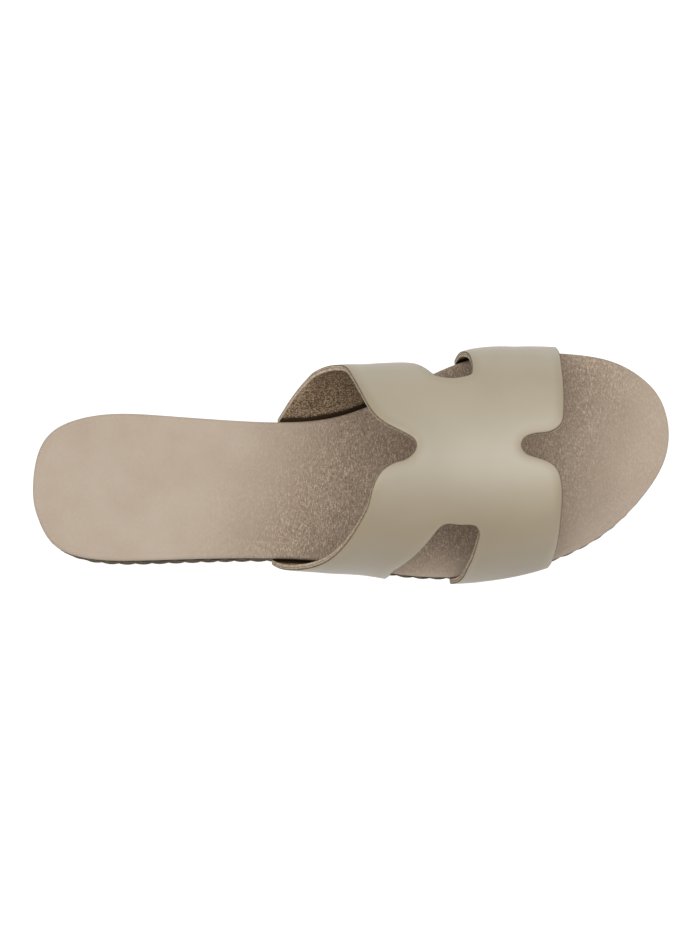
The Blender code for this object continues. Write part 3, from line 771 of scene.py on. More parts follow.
def make_insole():
    rim = ladder_rim(ladder_stations())
    profile = [(DISH_FLOOR * share, 0.0) for share in (0.75, 0.5, 0.35)]
    profile += [(ROLL_LINE + ROLL_WIDTH, 0.0), (ROLL_LINE + ROLL_WIDTH / 3, 0.0), (ROLL_LINE, -ROLL_DEPTH),
                (ROLL_LINE - ROLL_WIDTH / 3, 0.0), (ROLL_LINE - ROLL_WIDTH, 0.0)]
    for k in range(RIM_STEPS + 1):
        turn = math.pi / 2 * k / RIM_STEPS
        profile.append((EDGE_ROUND * (1 - math.sin(turn)), -EDGE_ROUND * (1 - math.cos(turn))))
    foot = EDGE_ROUND / 2
    for k in range(RIM_STEPS + 1):
        turn = math.pi / 2 * k / RIM_STEPS
        profile.append((foot * (1 - math.cos(turn)), -INSOLE + foot * (1 - math.sin(turn))))
    rings = []
    for depth, drop in profile:
        plan = inset(rim, depth)
        rings.append(surface_ring(plan, footbed, drop - dish_depth(plan[:, 0], depth) * (drop > -EDGE_ROUND)))
    piece = ladder_solid("insole_covered", rings, insole_top, lambda x, y: float(footbed(x)) - INSOLE)
    piece.data.materials.append(FINISH["suede"])
    spots = np.array([vertex.co[:] for vertex in piece.data.vertices])
    store(piece, "rim_drop", footbed(spots[:, 0] - STAND_X) - spots[:, 2])
    return piece


insole = make_insole()
print("insole:", triangles(insole), "triangles")

# %% [markdown]
# The upper is cut from one sheet in the shape of an H: a rear band that flares over the instep, a front
# band over the toes, a bridge between them and a notch at each end of it. The sheet is drawn flat, as on a
# pattern table, filled with points, joined up as triangles and then carried onto the last. A subdivided box
# would be quicker, but its edges would wander; here every cut edge runs through the pattern's own points.

# %% Sections and cut edges of the upper
# along, crown height as a share of INSTEP_HEIGHT, crown across as a share of BALL_WIDTH, lean of the lateral
# and of the medial side as it leaves the insole
SECTIONS = (
    (0.34, 1.080, 0.02, 0.32, 1.10),
    (0.44, 1.020, 0.00, 0.30, 1.05),
    (0.54, 0.910, -0.02, 0.06, 0.80),
    (0.64, 0.775, -0.04, 0.06, 0.32),
    (0.74, 0.660, -0.05, -0.18, 0.10),
    (0.84, 0.575, -0.05, -0.20, -0.23),
    (0.92, 0.530, -0.05, -0.20, -0.30),
)
SIDE_HANDLE_SHARE = 0.62
CROWN_HANDLE_SHARE = 0.60
INWARD_LEAN = -0.10

# along, across
COLLAR_EDGE = (
    (0.390, 1.000), (0.403, 0.967), (0.435, 0.874), (0.453, 0.808), (0.475, 0.737), (0.499, 0.648),
    (0.513, 0.486), (0.531, 0.301), (0.549, 0.211), (0.582, 0.133), (0.594, 0.100), (0.597, 0.060),
    (0.591, 0.012), (0.578, -0.022), (0.560, -0.042), (0.544, -0.075), (0.533, -0.120), (0.524, -0.185),
    (0.515, -0.282), (0.502, -0.371), (0.484, -0.477), (0.462, -0.586), (0.434, -0.703), (0.408, -0.800),
    (0.387, -0.870), (0.372, -0.940), (0.361, -1.000),
)
LATERAL_GAP = (
    (0.533, -1.000), (0.537, -0.910), (0.545, -0.790), (0.559, -0.695), (0.590, -0.533), (0.609, -0.434),
    (0.620, -0.382), (0.628, -0.361), (0.637, -0.355), (0.652, -0.364), (0.668, -0.370), (0.678, -0.388),
    (0.682, -0.440), (0.678, -0.507), (0.669, -0.632), (0.662, -0.716), (0.656, -0.817), (0.648, -0.920),
    (0.637, -1.000),
)
TOE_EDGE = (
    (0.791, -1.000), (0.796, -0.920), (0.804, -0.670), (0.809, -0.460), (0.813, -0.304), (0.814, -0.215),
    (0.812, -0.136), (0.806, -0.085), (0.795, -0.050), (0.779, -0.025), (0.765, -0.004), (0.758, 0.026),
    (0.759, 0.056), (0.766, 0.081), (0.782, 0.095), (0.802, 0.099), (0.816, 0.120), (0.824, 0.153),
    (0.828, 0.206), (0.833, 0.367), (0.836, 0.601), (0.838, 0.780), (0.838, 0.920), (0.837, 1.000),
)
MEDIAL_GAP = (
    (0.678, 1.000), (0.683, 0.915), (0.688, 0.826), (0.695, 0.718), (0.698, 0.598), (0.697, 0.512),
    (0.692, 0.466), (0.668, 0.457), (0.644, 0.485), (0.633, 0.527), (0.618, 0.630), (0.602, 0.730),
    (0.588, 0.830), (0.575, 0.920), (0.570, 1.000),
)
ARC_END = 1.10
MARGIN_END = 1.30
FOLD_ROWS = (1.0, 1.025, 1.05, 1.075, ARC_END, MARGIN_END)


def section_point(along, across):
    """A point of the upper's inner face and the outward direction there, in the tables' frame."""
    side = 1 if across > 0 else -1
    x = float(x_at(along))
    crown, middle, lean_lateral, lean_medial = (float(smooth(SECTIONS, k, along)) for k in range(1, 5))
    lean = lean_medial if side > 0 else lean_lateral
    edge = float(insole_edge(x, side))
    top = float(footbed(x))
    under = top - INSOLE
    reach = abs(across)
    turn_end = math.atan2(1.0, max(lean, 0.0))
    if reach >= ARC_END:
        share = (reach - ARC_END) / (MARGIN_END - ARC_END)
        y, z, ny, nz = edge - side * share * LASTING_MARGIN, under - CLEAR, 0.0, -1.0
    elif reach > 1.0:
        turn = turn_end * (ARC_END - reach) / (ARC_END - 1.0)
        ny, nz = side * math.sin(turn), -math.cos(turn)
        y, z = edge + CLEAR * ny, under + CLEAR * nz
    else:
        straight = min(1.0, max(0.0, lean / INWARD_LEAN)) * (INSOLE - EDGE_ROUND)
        foot = Vector((edge + side * CLEAR * math.sin(turn_end), under - CLEAR * math.cos(turn_end)))
        foot.y += straight
        peak = Vector((middle * BALL_WIDTH, top + crown * INSTEP_HEIGHT))
        rise = peak.y - foot.y
        handle = foot + Vector((side * lean, 1.0)) * rise * SIDE_HANDLE_SHARE
        shoulder = Vector((peak.x + CROWN_HANDLE_SHARE * (foot.x - peak.x), peak.y))
        t = 1.0 - reach
        spot = foot * (1 - t)**3 + handle * 3 * t * (1 - t)**2 + shoulder * 3 * t * t * (1 - t) + peak * t**3
        run = (handle - foot) * (1 - t)**2 + (shoulder - handle) * 2 * t * (1 - t) + (peak - shoulder) * t**2
        run.normalize()
        y, z = spot
        ny, nz = side * run.y, -side * run.x
    return Vector((x, y, z)), Vector((0.0, ny, nz))


# %% The flat pattern
RUN_SAMPLES = 131
MERGE_DISTANCE = 1e-7             # points of the pattern closer than this become one


def section_runs():
    """Across values, and their run in metres from the crown round a section in the middle of the upper."""
    middle = (SECTIONS[0][0] + SECTIONS[-1][0]) / 2
    values = np.linspace(0.0, MARGIN_END, RUN_SAMPLES)
    spots = np.array([section_point(middle, -value)[0] for value in values])
    run = np.concatenate([[0], np.cumsum(np.linalg.norm(np.diff(spots, axis=0), axis=1))])
    return values, run


RUN_ACROSS, RUN_LENGTH = section_runs()
STRAP_STEP = 0.0017               # size of the strap's triangles
STRAP_EDGE_STEP = 0.0009          # the same along its cut edges


def flat(along, across):
    return along * SHOE_LENGTH, math.copysign(float(np.interp(abs(across), RUN_ACROSS, RUN_LENGTH)), across)


def unflat(spot):
    across = round(float(np.interp(abs(spot[1]), RUN_LENGTH, RUN_ACROSS)), 5)
    return spot[0] / SHOE_LENGTH, math.copysign(across, spot[1])


def through(points, step):
    """Points about a step apart on a smooth curve (Catmull-Rom) through the given flat points."""
    points = np.array(points)
    padded = np.vstack([2 * points[0] - points[1], points, 2 * points[-1] - points[-2]])
    spots = [tuple(points[0])]
    for i in range(1, len(padded) - 2):
        a, b, c, d = padded[i - 1:i + 3]
        count = max(1, round(float(np.linalg.norm(c - b)) / step))
        for k in range(1, count + 1):
            t = k / count
            spot = 2 * b + (c - a) * t + (2 * a - 5 * b + 4 * c - d) * t**2 + (3 * b - a - 3 * c + d) * t**3
            spots.append(tuple(spot / 2))
    return spots


def pattern_border():
    """The flat pattern's closed border, and where each fold row meets it, by edge, end and row."""
    border, marks = [], {}
    for number, edge in enumerate((COLLAR_EDGE, LATERAL_GAP, TOE_EDGE, MEDIAL_GAP)):
        (first, first_side), (last, last_side) = edge[0], edge[-1]
        for row in reversed(FOLD_ROWS[1:]):
            marks[number, "first", row] = len(border)
            border.append(flat(first, math.copysign(row, first_side)))
        marks[number, "first", FOLD_ROWS[0]] = len(border)
        border += through([flat(*spot) for spot in edge], STRAP_EDGE_STEP)
        marks[number, "last", FOLD_ROWS[0]] = len(border) - 1
        for row in FOLD_ROWS[1:]:
            marks[number, "last", row] = len(border)
            border.append(flat(last, math.copysign(row, last_side)))
    return border, marks


def fold_lines(spots, marks):
    """The lines that the triangles keep: the cut edges, and the fold rows, which add points to the spots."""
    lines = []
    for number in range(4):
        for row in FOLD_ROWS:
            first, last = marks[number, "last", row], marks[(number + 1) % 4, "first", row]
            start, end = np.array(spots[first]), np.array(spots[last])
            count = max(2, round(float(np.linalg.norm(end - start)) / STRAP_STEP))
            chain = [first] + list(range(len(spots), len(spots) + count - 1)) + [last]
            spots += [tuple(start + (end - start) * k / count) for k in range(1, count)]
            lines += list(zip(chain[:-1], chain[1:]))
        edge = range(marks[number, "first", MARGIN_END], marks[number, "last", MARGIN_END])
        lines += [(i, i + 1) for i in edge]
    return lines


def inside(polygon, spots):
    """Which flat points lie inside a closed polygon."""
    a, b = polygon, np.roll(polygon, -1, axis=0)
    found = np.zeros(len(spots), dtype=bool)
    for (ax, ay), (bx, by) in zip(a, b):
        if ay != by:
            spans = (ay > spots[:, 1]) != (by > spots[:, 1])
            cross = ax + (spots[:, 1] - ay) * (bx - ax) / (by - ay)
            found ^= spans & (cross > spots[:, 0])
    return found


def border_distance(border, spots):
    """How far each flat point lies from the nearest point of the border."""
    return np.array([np.sqrt(((border - spot)**2).sum(axis=1).min()) for spot in spots])


def filling(border):
    """Rows of points, every other one shifted, that fill the pattern between its fold rows."""
    polygon = np.array(border)
    fold = float(np.interp(FOLD_ROWS[0], RUN_ACROSS, RUN_LENGTH)) - STRAP_EDGE_STEP
    spots = []
    for i, x in enumerate(np.arange(polygon[:, 0].min() + STRAP_STEP / 2, polygon[:, 0].max(), STRAP_STEP)):
        for y in np.arange(-fold + (i % 2) * STRAP_STEP / 2, fold, STRAP_STEP):
            spots.append((x, y))
    spots = np.array(spots)
    spots = spots[inside(polygon, spots)]
    return spots[border_distance(polygon, spots) > STRAP_EDGE_STEP]


# %% [markdown]
# The upper's wall is 2.2 mm thick: an outer sheet, a lining sheet and the cut edge between them. A knife
# leaves a square edge, but handling rounds it, and near it the sheet rolls down a little where it was
# pressed. Both are small, yet they draw the thin bright and dark lines that tell the eye how thick the
# strap is.

# %% The upper
EDGE_ROLL = 0.00045               # how far the sheet dips at its cut edges
EDGE_ROLL_WIDTH = 0.0045
FREE_SLOPE = 5.0                  # the roll fades out over the last fifth of the way down to the insole
CUT_ROUND = 0.00035               # radius of the worn corners of the cut edge
SHADE_START = 0.0014              # how far within the insole's edge the shade on the lining starts to fade
SHADE_WIDTH = 0.0009              # over what width it fades, on the medial side
SHADE_HEIGHT = 0.0028             # how high it climbs up the lining, on the lateral side
# Across the cut edge: share of CUT_ROUND that the ring lies outside the sheet's border, depth in the wall
CUT_PROFILE = ((0.0, 0.0), (0.55, 0.06), (0.90, 0.18), (1.0, 0.36), (0.86, 0.47), (0.78, 0.50), (0.86, 0.53),
               (1.0, 0.64), (0.90, 0.82), (0.55, 0.94), (0.0, 1.0))
# Soft troughs and ridges of the strap: along, across, length along, length across, height in metres
CREASES = (
    (0.655, 0.05, 0.030, 0.42, -0.00035),
    (0.500, 0.78, 0.030, 0.20, 0.00030),
    (0.730, -0.62, 0.040, 0.16, 0.00025),
)


def relief(along, across):
    """Height of the soft folds at a place of the strap."""
    height = 0.0
    for middle, side, reach_along, reach_across, top in CREASES:
        height += top * math.exp(-((along - middle) / reach_along)**2 - ((across - side) / reach_across)**2)
    return height


def border_outwards(border):
    """Outward directions of a closed border that runs clockwise or not, as flat unit vectors."""
    run = np.roll(border, -1, axis=0) - np.roll(border, 1, axis=0)
    run /= np.linalg.norm(run, axis=1)[:, None]
    area = (border[:, 0] * np.roll(border[:, 1], -1) - np.roll(border[:, 0], -1) * border[:, 1]).sum()
    return np.stack([run[:, 1], -run[:, 0]], axis=1) * (1 if area > 0 else -1)


def sheet_point(spot, level, gap):
    """A point of the bent sheet at a depth in its wall, and its share across for the finish."""
    along, across = unflat(spot)
    place, outwards = section_point(along, across)
    free = min(1.0, max(0.0, FREE_SLOPE * (1.0 - abs(across))))
    roll = EDGE_ROLL * max(0.0, 1.0 - gap / EDGE_ROLL_WIDTH)**2 * free
    return place + outwards * (UPPER_WALL * level + relief(along, across) - roll), across / 2 + 0.5


def cut_loop(sheet):
    """The points round the sheet's border, in the order in which its faces run."""
    sides = {pair for face in sheet for pair in zip(face, face[1:] + face[:1])}
    rim = [(a, b) for a, b in sorted(sides) if (b, a) not in sides]
    follower = dict(rim)
    loop = [rim[0][0]]
    while follower[loop[-1]] != loop[0]:
        loop.append(follower[loop[-1]])
    return loop


def out_of_shade(points, side):
    """How far each point of the lining lies out of the shade where it meets the insole, 0 to 1 and more."""
    spots = np.array([point[:] for point in points])
    rise = (spots[:, 2] - footbed(spots[:, 0] - STAND_X)) / SHADE_HEIGHT
    beyond = spots[:, 1] - STAND_Y - insole_edge(spots[:, 0] - STAND_X, 1)
    beside = (beyond + SHADE_START) / SHADE_WIDTH
    return np.where(np.array(side) > 0.5, np.maximum(rise, beside), rise)


def make_upper():
    border, marks = pattern_border()
    spots = list(border)
    lines = fold_lines(spots, marks)
    spots += [tuple(spot) for spot in filling(border)]
    pattern = delaunay_2d_cdt([Vector(spot) for spot in spots], lines, [], 1, MERGE_DISTANCE)
    places = np.array([tuple(spot) for spot in pattern[0]])
    sheet = [tuple(face) for face in pattern[2]]
    near = border_distance(np.array(border), places)
    total = len(places)
    points, depth, distance, side = [], [], [], []

    def add_point(spot, level, gap):
        point, share_across = sheet_point(spot, level, gap)
        points.append(point)
        depth.append(level)
        distance.append(gap)
        side.append(share_across)

    for level in (0.0, 1.0):
        for spot, gap in zip(places, near):
            add_point(spot, level, gap)
    loop = cut_loop(sheet)
    outer_way = border_outwards(places[loop])
    rings = [loop]
    for share, level in CUT_PROFILE[1:-1]:
        rings.append(list(range(len(points), len(points) + len(loop))))
        for index, way in zip(loop, outer_way):
            add_point(places[index] + way * CUT_ROUND * share, level, 0.0)
    rings.append([index + total for index in loop])
    faces = list(sheet) + [tuple(index + total for index in reversed(face)) for face in sheet]
    kinds = ["lining"] * len(sheet) + ["strap"] * len(sheet)
    for lower, upper in zip(rings[:-1], rings[1:]):
        for k in range(len(loop)):
            after = (k + 1) % len(loop)
            faces.append((lower[after], lower[k], upper[k], upper[after]))
            kinds.append("cut_edge")
    piece = mesh_piece("upper_strap", points, faces)
    names = ("strap", "lining", "cut_edge")
    for name in names:
        piece.data.materials.append(FINISH[name])
    piece.data.polygons.foreach_set("material_index", [names.index(kind) for kind in kinds])
    store(piece, "wall_depth", depth)
    store(piece, "edge_distance", distance)
    store(piece, "across", side)
    store(piece, "out_of_shade", out_of_shade(points, side))
    return piece


upper = make_upper()
print("upper:", triangles(upper), "triangles")

# %% [markdown]
# The side of the wedge is wound with jute rope: three strands twisted together, laid in level courses from
# the floor up. What repeats along a path is work for Geometry Nodes. Each course starts as a plain line
# round the shoe; the tree makes three copies of it, winds each round the line like a spring squeezed flat,
# sweeps a small oval along them and presses down whatever would rise into the insole. The line also carries
# the height of the ceiling above it, so that the tree needs to know nothing else of the shoe.

# %% Sizes of the rope
STRAND_RISE = 0.00162             # how far a strand swings up and down
STRAND_SWING = 0.00110            # how far it swings out and in
STRAND_HALF_HEIGHT = 0.00138
STRAND_HALF_DEPTH = 0.00096
STRANDS = 3
ROPE_STEP = 0.0011
ROPE_SIDES = 12
YARN_LAY = 0.0150                 # length of one turn of the yarns within a strand
ROPE_BULGE = 0.0005               # how far the soft rope swells out past the wrap's solid
THINNEST_ROPE = 0.0015            # a course ends where less of it than this fits under the insole
COURSES = 1 + int((HEEL_HEIGHT - INSOLE - OUTSOLE - 2 * CLEAR - THINNEST_ROPE) / ROPE)


# %% The tree that twists a rope
def rope_tree():
    tree = bpy.data.node_groups.new("twisted_rope", "GeometryNodeTree")
    tree.interface.new_socket("Course", in_out="INPUT", socket_type="NodeSocketGeometry")
    for name, kind in (("Lay", "Float"), ("Rise", "Float"), ("Swing", "Float"), ("Half Height", "Float"),
                       ("Half Depth", "Float"), ("Step", "Float"), ("Yarn Lay", "Float"),
                       ("Start Turn", "Float"), ("Strands", "Int"), ("Sides", "Int"), ("Finish", "Material")):
        tree.interface.new_socket(name, in_out="INPUT", socket_type="NodeSocket" + kind)
    tree.interface.new_socket("Rope", in_out="OUTPUT", socket_type="NodeSocketGeometry")
    given = tree.nodes.new("NodeGroupInput").outputs
    line = add_node(tree, "GeometryNodeMeshToCurve", Mesh=given["Course"]).outputs["Curve"]
    line = add_node(tree, "GeometryNodeResampleCurve", {"mode": "LENGTH"}, Curve=line, Length=given["Step"])
    line = line.outputs["Curve"]
    length = add_node(tree, "GeometryNodeCurveLength", Curve=line).outputs["Length"]
    turns = math_node(tree, "ROUND", math_node(tree, "DIVIDE", length, given["Lay"]))
    copies = add_node(tree, "GeometryNodeDuplicateElements", {"domain": "SPLINE"},
                      Geometry=line, Amount=given["Strands"])
    share = math_node(tree, "DIVIDE", copies.outputs["Duplicate Index"], given["Strands"])
    factor = add_node(tree, "GeometryNodeSplineParameter").outputs["Factor"]
    wound = math_node(tree, "ADD", math_node(tree, "MULTIPLY_ADD", factor, turns, share), given["Start Turn"])
    angle = math_node(tree, "MULTIPLY", wound, 2 * math.pi)
    tangent = add_node(tree, "GeometryNodeInputTangent").outputs["Tangent"]
    outwards = add_node(tree, "ShaderNodeVectorMath", {"operation": "CROSS_PRODUCT"},
                        _0=(0.0, 0.0, 1.0), _1=tangent).outputs["Vector"]
    out_by = math_node(tree, "MULTIPLY", math_node(tree, "COSINE", angle), given["Swing"])
    up_by = math_node(tree, "MULTIPLY", math_node(tree, "SINE", angle), given["Rise"])
    out_part = add_node(tree, "ShaderNodeVectorMath", {"operation": "SCALE"}, _0=outwards, Scale=out_by)
    up_part = add_node(tree, "ShaderNodeCombineXYZ", Z=up_by).outputs["Vector"]
    shift = add_node(tree, "ShaderNodeVectorMath", {"operation": "ADD"},
                     _0=out_part.outputs["Vector"], _1=up_part)
    strand = add_node(tree, "GeometryNodeSetPosition", Geometry=copies.outputs["Geometry"],
                      Offset=shift.outputs["Vector"]).outputs["Geometry"]
    strand = add_node(tree, "GeometryNodeSetCurveNormal", {"mode": "Z_UP"}, Curve=strand).outputs["Curve"]
    run = add_node(tree, "GeometryNodeSplineParameter").outputs["Length"]
    strand = add_node(tree, "GeometryNodeStoreNamedAttribute", {"data_type": "FLOAT", "domain": "POINT"},
                      Geometry=strand, Name="run", Value=run).outputs["Geometry"]
    oval = add_node(tree, "GeometryNodeCurvePrimitiveCircle", {"mode": "RADIUS"},
                    Resolution=given["Sides"], Radius=1.0).outputs["Curve"]
    place = add_node(tree, "GeometryNodeInputPosition").outputs["Position"]
    oval = add_node(tree, "GeometryNodeStoreNamedAttribute", {"data_type": "FLOAT_VECTOR", "domain": "POINT"},
                    Geometry=oval, Name="ring", Value=place).outputs["Geometry"]
    size = add_node(tree, "ShaderNodeCombineXYZ", X=given["Half Depth"], Y=given["Half Height"])
    oval = add_node(tree, "GeometryNodeTransform", Geometry=oval, Scale=size.outputs["Vector"])
    oval = oval.outputs["Geometry"]
    tube = add_node(tree, "GeometryNodeCurveToMesh", Curve=strand, Profile_Curve=oval, Fill_Caps=True)
    tube = tube.outputs["Mesh"]
    tube = pressed_down(tree, tube)
    tube = turned_lay(tree, tube, given["Yarn Lay"])
    tube = add_node(tree, "GeometryNodeSetShadeSmooth", Geometry=tube).outputs["Geometry"]
    tube = add_node(tree, "GeometryNodeRealizeInstances", Geometry=tube).outputs["Geometry"]
    tube = add_node(tree, "GeometryNodeSetMaterial", Geometry=tube, Material=given["Finish"])
    rope = tree.nodes.new("NodeGroupOutput")
    tree.links.new(tube.outputs["Geometry"], rope.inputs["Rope"])
    return tree


def pressed_down(tree, tube):
    """Lowers whatever stands above the ceiling that the course carries."""
    place = add_node(tree, "GeometryNodeInputPosition").outputs["Position"]
    split = add_node(tree, "ShaderNodeSeparateXYZ", Vector=place)
    ceiling = add_node(tree, "GeometryNodeInputNamedAttribute", {"data_type": "FLOAT"}, Name="ceiling")
    height = math_node(tree, "MINIMUM", split.outputs["Z"], ceiling.outputs["Attribute"])
    place = add_node(tree, "ShaderNodeCombineXYZ", X=split.outputs["X"], Y=split.outputs["Y"], Z=height)
    return add_node(tree, "GeometryNodeSetPosition", Geometry=tube,
                    Position=place.outputs["Vector"]).outputs["Geometry"]


def turned_lay(tree, tube, yarn_lay):
    """Stores where a point lies on its strand: the run along it, and the turned ring round it."""
    run = add_node(tree, "GeometryNodeInputNamedAttribute", {"data_type": "FLOAT"}, Name="run")
    ring = add_node(tree, "GeometryNodeInputNamedAttribute", {"data_type": "FLOAT_VECTOR"}, Name="ring")
    turns = math_node(tree, "DIVIDE", run.outputs["Attribute"], yarn_lay)
    turn = math_node(tree, "MULTIPLY", turns, 2 * math.pi)
    turned = add_node(tree, "ShaderNodeVectorRotate", {"rotation_type": "Z_AXIS"},
                      Vector=ring.outputs["Attribute"], Angle=turn).outputs["Vector"]
    split = add_node(tree, "ShaderNodeSeparateXYZ", Vector=turned)
    lay = add_node(tree, "ShaderNodeCombineXYZ", X=run.outputs["Attribute"], Y=split.outputs["X"],
                   Z=split.outputs["Y"]).outputs["Vector"]
    return add_node(tree, "GeometryNodeStoreNamedAttribute", {"data_type": "FLOAT_VECTOR", "domain": "POINT"},
                    Geometry=tube, Name="lay", Value=lay).outputs["Geometry"]


# %% The line of each course
def attachments():
    """Where the upper goes down beside the insole: side, and its first and last share along."""
    return (
        (-1, COLLAR_EDGE[-1][0], LATERAL_GAP[0][0]), (-1, LATERAL_GAP[-1][0], TOE_EDGE[0][0]),
        (1, COLLAR_EDGE[0][0], MEDIAL_GAP[-1][0]), (1, MEDIAL_GAP[0][0], TOE_EDGE[-1][0]),
    )


def ceiling_over(plan):
    """Height under the insole, and under the upper's margin where that is turned in."""
    height = footbed(plan[:, 0]) - INSOLE - CLEAR
    for side, start, end in attachments():
        covered = (plan[:, 1] * side > 0) & (plan[:, 0] > x_at(start) - 2 * CLEAR)
        covered &= plan[:, 0] < x_at(end) + 2 * CLEAR
        height = height - covered * (CLEAR + UPPER_WALL)
    return height


def course_line(number):
    """A course's middle line as a mesh of edges, open where the insole comes down onto it."""
    loop = np.vstack([FINE_OUTLINE, FINE_OUTLINE[:1]])
    run = np.concatenate([[0], np.cumsum(np.linalg.norm(np.diff(loop, axis=0), axis=1))])
    at = np.arange(0.0, run[-1] - ROPE_STEP / 2, ROPE_STEP)
    rim = np.stack([np.interp(at, run, loop[:, 0]), np.interp(at, run, loop[:, 1])], axis=1)
    lift = OUTSOLE + CLEAR + (number + 0.5) * ROPE
    plan = inset(rim, side_inset(rim[:, 0], ground(rim[:, 0]) + lift) + WRAP / 2 - ROPE_BULGE)
    height = ground(plan[:, 0]) + lift
    ceiling = ceiling_over(plan)
    room = footbed(plan[:, 0]) - INSOLE - CLEAR - (height - ROPE / 2)
    kept = room > THINNEST_ROPE
    order = np.arange(len(plan))
    if not kept.all():
        order = np.roll(order, len(plan) // 2)
        order = order[kept[order]]
    points = np.column_stack([plan, height])[order] + (STAND_X, STAND_Y, 0.0)
    links = [(i, i + 1) for i in range(len(points) - 1)]
    if kept.all():
        links.append((len(points) - 1, 0))
    mesh = bpy.data.meshes.new("course_line")
    mesh.from_pydata(points.tolist(), links, [])
    mesh.attributes.new("ceiling", "FLOAT", "POINT").data.foreach_set("value", ceiling[order])
    course = bpy.data.objects.new("course_line", mesh)
    bpy.context.scene.collection.objects.link(course)
    return course


# %% Wind the courses
def set_inputs(modifier, values):
    """Sets a tree's inputs by the identifiers of their sockets."""
    for item in modifier.node_group.interface.items_tree:
        if item.in_out == "INPUT" and item.name in values:
            modifier[item.identifier] = values[item.name]


def grown(carrier, tree, values, name):
    """What a tree makes on a carrier, as a plain mesh piece with no modifier."""
    modifier = carrier.modifiers.new(tree.name, "NODES")
    modifier.node_group = tree
    set_inputs(modifier, values)
    result = carrier.evaluated_get(bpy.context.evaluated_depsgraph_get())
    mesh = bpy.data.meshes.new_from_object(result)
    mesh.name = name
    bpy.data.objects.remove(carrier)
    piece = bpy.data.objects.new(name, mesh)
    bpy.context.scene.collection.objects.link(piece)
    return piece


rope = rope_tree()
courses = []
for number in range(COURSES):
    sizes = {
        "Lay": STRANDS * ROPE_PITCH, "Rise": STRAND_RISE, "Swing": STRAND_SWING,
        "Half Height": STRAND_HALF_HEIGHT,
        "Half Depth": STRAND_HALF_DEPTH, "Step": ROPE_STEP, "Yarn Lay": YARN_LAY, "Start Turn": 0.0,
        "Strands": STRANDS, "Sides": ROPE_SIDES, "Finish": FINISH["jute"],
    }
    course = grown(course_line(number), rope, sizes, f"rope_course_{number + 1}")
    spots = np.array([vertex.co[:] for vertex in course.data.vertices])
    store(course, "below_insole", footbed(spots[:, 0] - STAND_X) - INSOLE - spots[:, 2])
    courses.append(course)
print("rope:", [triangles(course) for course in courses], "triangles a course")

# %% [markdown]
# The outsole is a thin sheet of rubber, cut a little smaller than the rope so that it doesn't show from
# above. Bars run across it under the heel and under the ball, and the waist between them is left smooth.
# The same ladder as for the insole makes it, with rungs added at both edges of every groove.

# %% The outsole
GROOVE_WALL = 0.00015             # run of a groove's slanted wall
SOLE_SHARP_DEGREES = 35
SOLE_CHAMFER = 0.0009
SIDE_BEAD = 0.00095               # a thin bead stands out along the upper rim of the rubber
# Down the side: how far in, how high above the underside
SOLE_PROFILE = (
    (2 * SIDE_BEAD, OUTSOLE), (0.0, OUTSOLE), (-SIDE_BEAD, OUTSOLE - SIDE_BEAD),
    (-SIDE_BEAD, OUTSOLE - 2 * SIDE_BEAD), (0.0, OUTSOLE - 3 * SIDE_BEAD), (0.0, SOLE_CHAMFER),
    (SOLE_CHAMFER, 0.0),
)


def groove_edges():
    edges = []
    for start, end in GROOVE_FIELDS:
        count = int((end - start) * SHOE_LENGTH / GROOVE_PITCH)
        for k in range(count):
            middle = float(x_at(start)) + (k + 0.5) * GROOVE_PITCH
            edges.append((middle - GROOVE_WIDTH / 2, middle + GROOVE_WIDTH / 2))
    return edges


GROOVES = np.array(groove_edges())


def groove_height(x):
    """How far the underside is raised by a groove at each place along the shoe."""
    x = np.asarray(x, dtype=float)
    height = np.zeros_like(x)
    for start, end in GROOVES:
        corners = (start - GROOVE_WALL, start, end, end + GROOVE_WALL)
        height = np.maximum(height, np.interp(x, corners, (0, 1, 1, 0)))
    return height * GROOVE_DEPTH


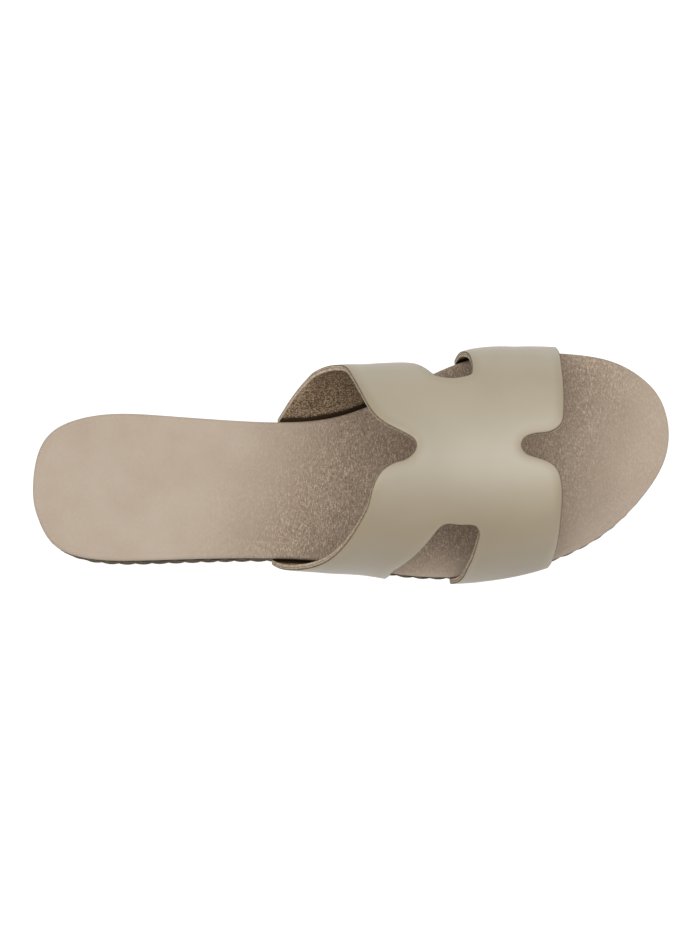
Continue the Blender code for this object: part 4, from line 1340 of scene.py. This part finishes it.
def drawn_in(stations, loop):
    """The stations, with those beyond the groove fields drawn in to a smaller outline."""
    low, high = stations[0], stations[-1]
    first, last = float(x_at(GROOVE_FIELDS[0][0])), float(x_at(GROOVE_FIELDS[-1][1]))
    heel = (loop[:, 0].min() - low) * np.clip((first - stations) / (first - low), 0.0, 1.0)
    toe = (loop[:, 0].max() - high) * np.clip((stations - last) / (high - last), 0.0, 1.0)
    return stations + heel + toe


def make_outsole():
    steps = np.concatenate([GROOVES.ravel(), GROOVES[:, 0] - GROOVE_WALL, GROOVES[:, 1] + GROOVE_WALL])
    stations = ladder_stations(steps)
    rim = FINE_OUTLINE[::4]
    side = side_inset(rim[:, 0], ground(rim[:, 0]) + OUTSOLE) + OUTSOLE_INSET
    rings = []
    for depth, lift in SOLE_PROFILE:
        loop = inset(rim, side + depth)
        plan = ladder_rim(drawn_in(stations, loop), loop)
        lifted = np.maximum(lift, groove_height(plan[:, 0]))
        rings.append(np.column_stack([plan, ground(plan[:, 0]) + lifted]))
    piece = ladder_solid("outsole_rubber", rings, lambda x, y: float(ground(x)) + OUTSOLE,
                         lambda x, y: float(ground(x) + groove_height(x)), SOLE_SHARP_DEGREES)
    piece.data.materials.append(FINISH["rubber"])
    return piece


outsole = make_outsole()
lowest = min(vertex.co.z for vertex in outsole.data.vertices)
print("outsole:", triangles(outsole), "triangles, lowest point", round(lowest, 5))

# %% [markdown]
# The wedge itself stays as it was packed, because nothing of it shows but a hint between the strands. It
# only gets its finish.

# %% The wedge
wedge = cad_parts["wedge"]
wedge.data.materials.clear()
wedge.data.materials.append(FINISH["foam"])

# %% [markdown]
# Last, each fine piece is tied to the imported body that it dresses, and the solid it stands for is
# hidden. The sandal has no moving parts, so everything rides on one body. The box of the dressed sandal
# is measured and kept beside the packed one.

# %% Tie the pieces to the packed sandal
PIECES = (
    (insole, "insole", "insole_suede"),
    (upper, "upper", "upper_synthetic"),
    (outsole, "outsole", "outsole_rubber"),
)
for piece, node, finish in PIECES:
    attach(piece, "root")
    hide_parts(node)
for course in courses:
    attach(course, "root")
    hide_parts("jute_wrap")

# %% Measure the dressed sandal's box
low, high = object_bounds()
sizes = {"cad": [list(cad_low), list(cad_high)], "visual": [list(low), list(high)]}
print("visual box in mm:", [round(1000 * side, 1) for side in high - low])
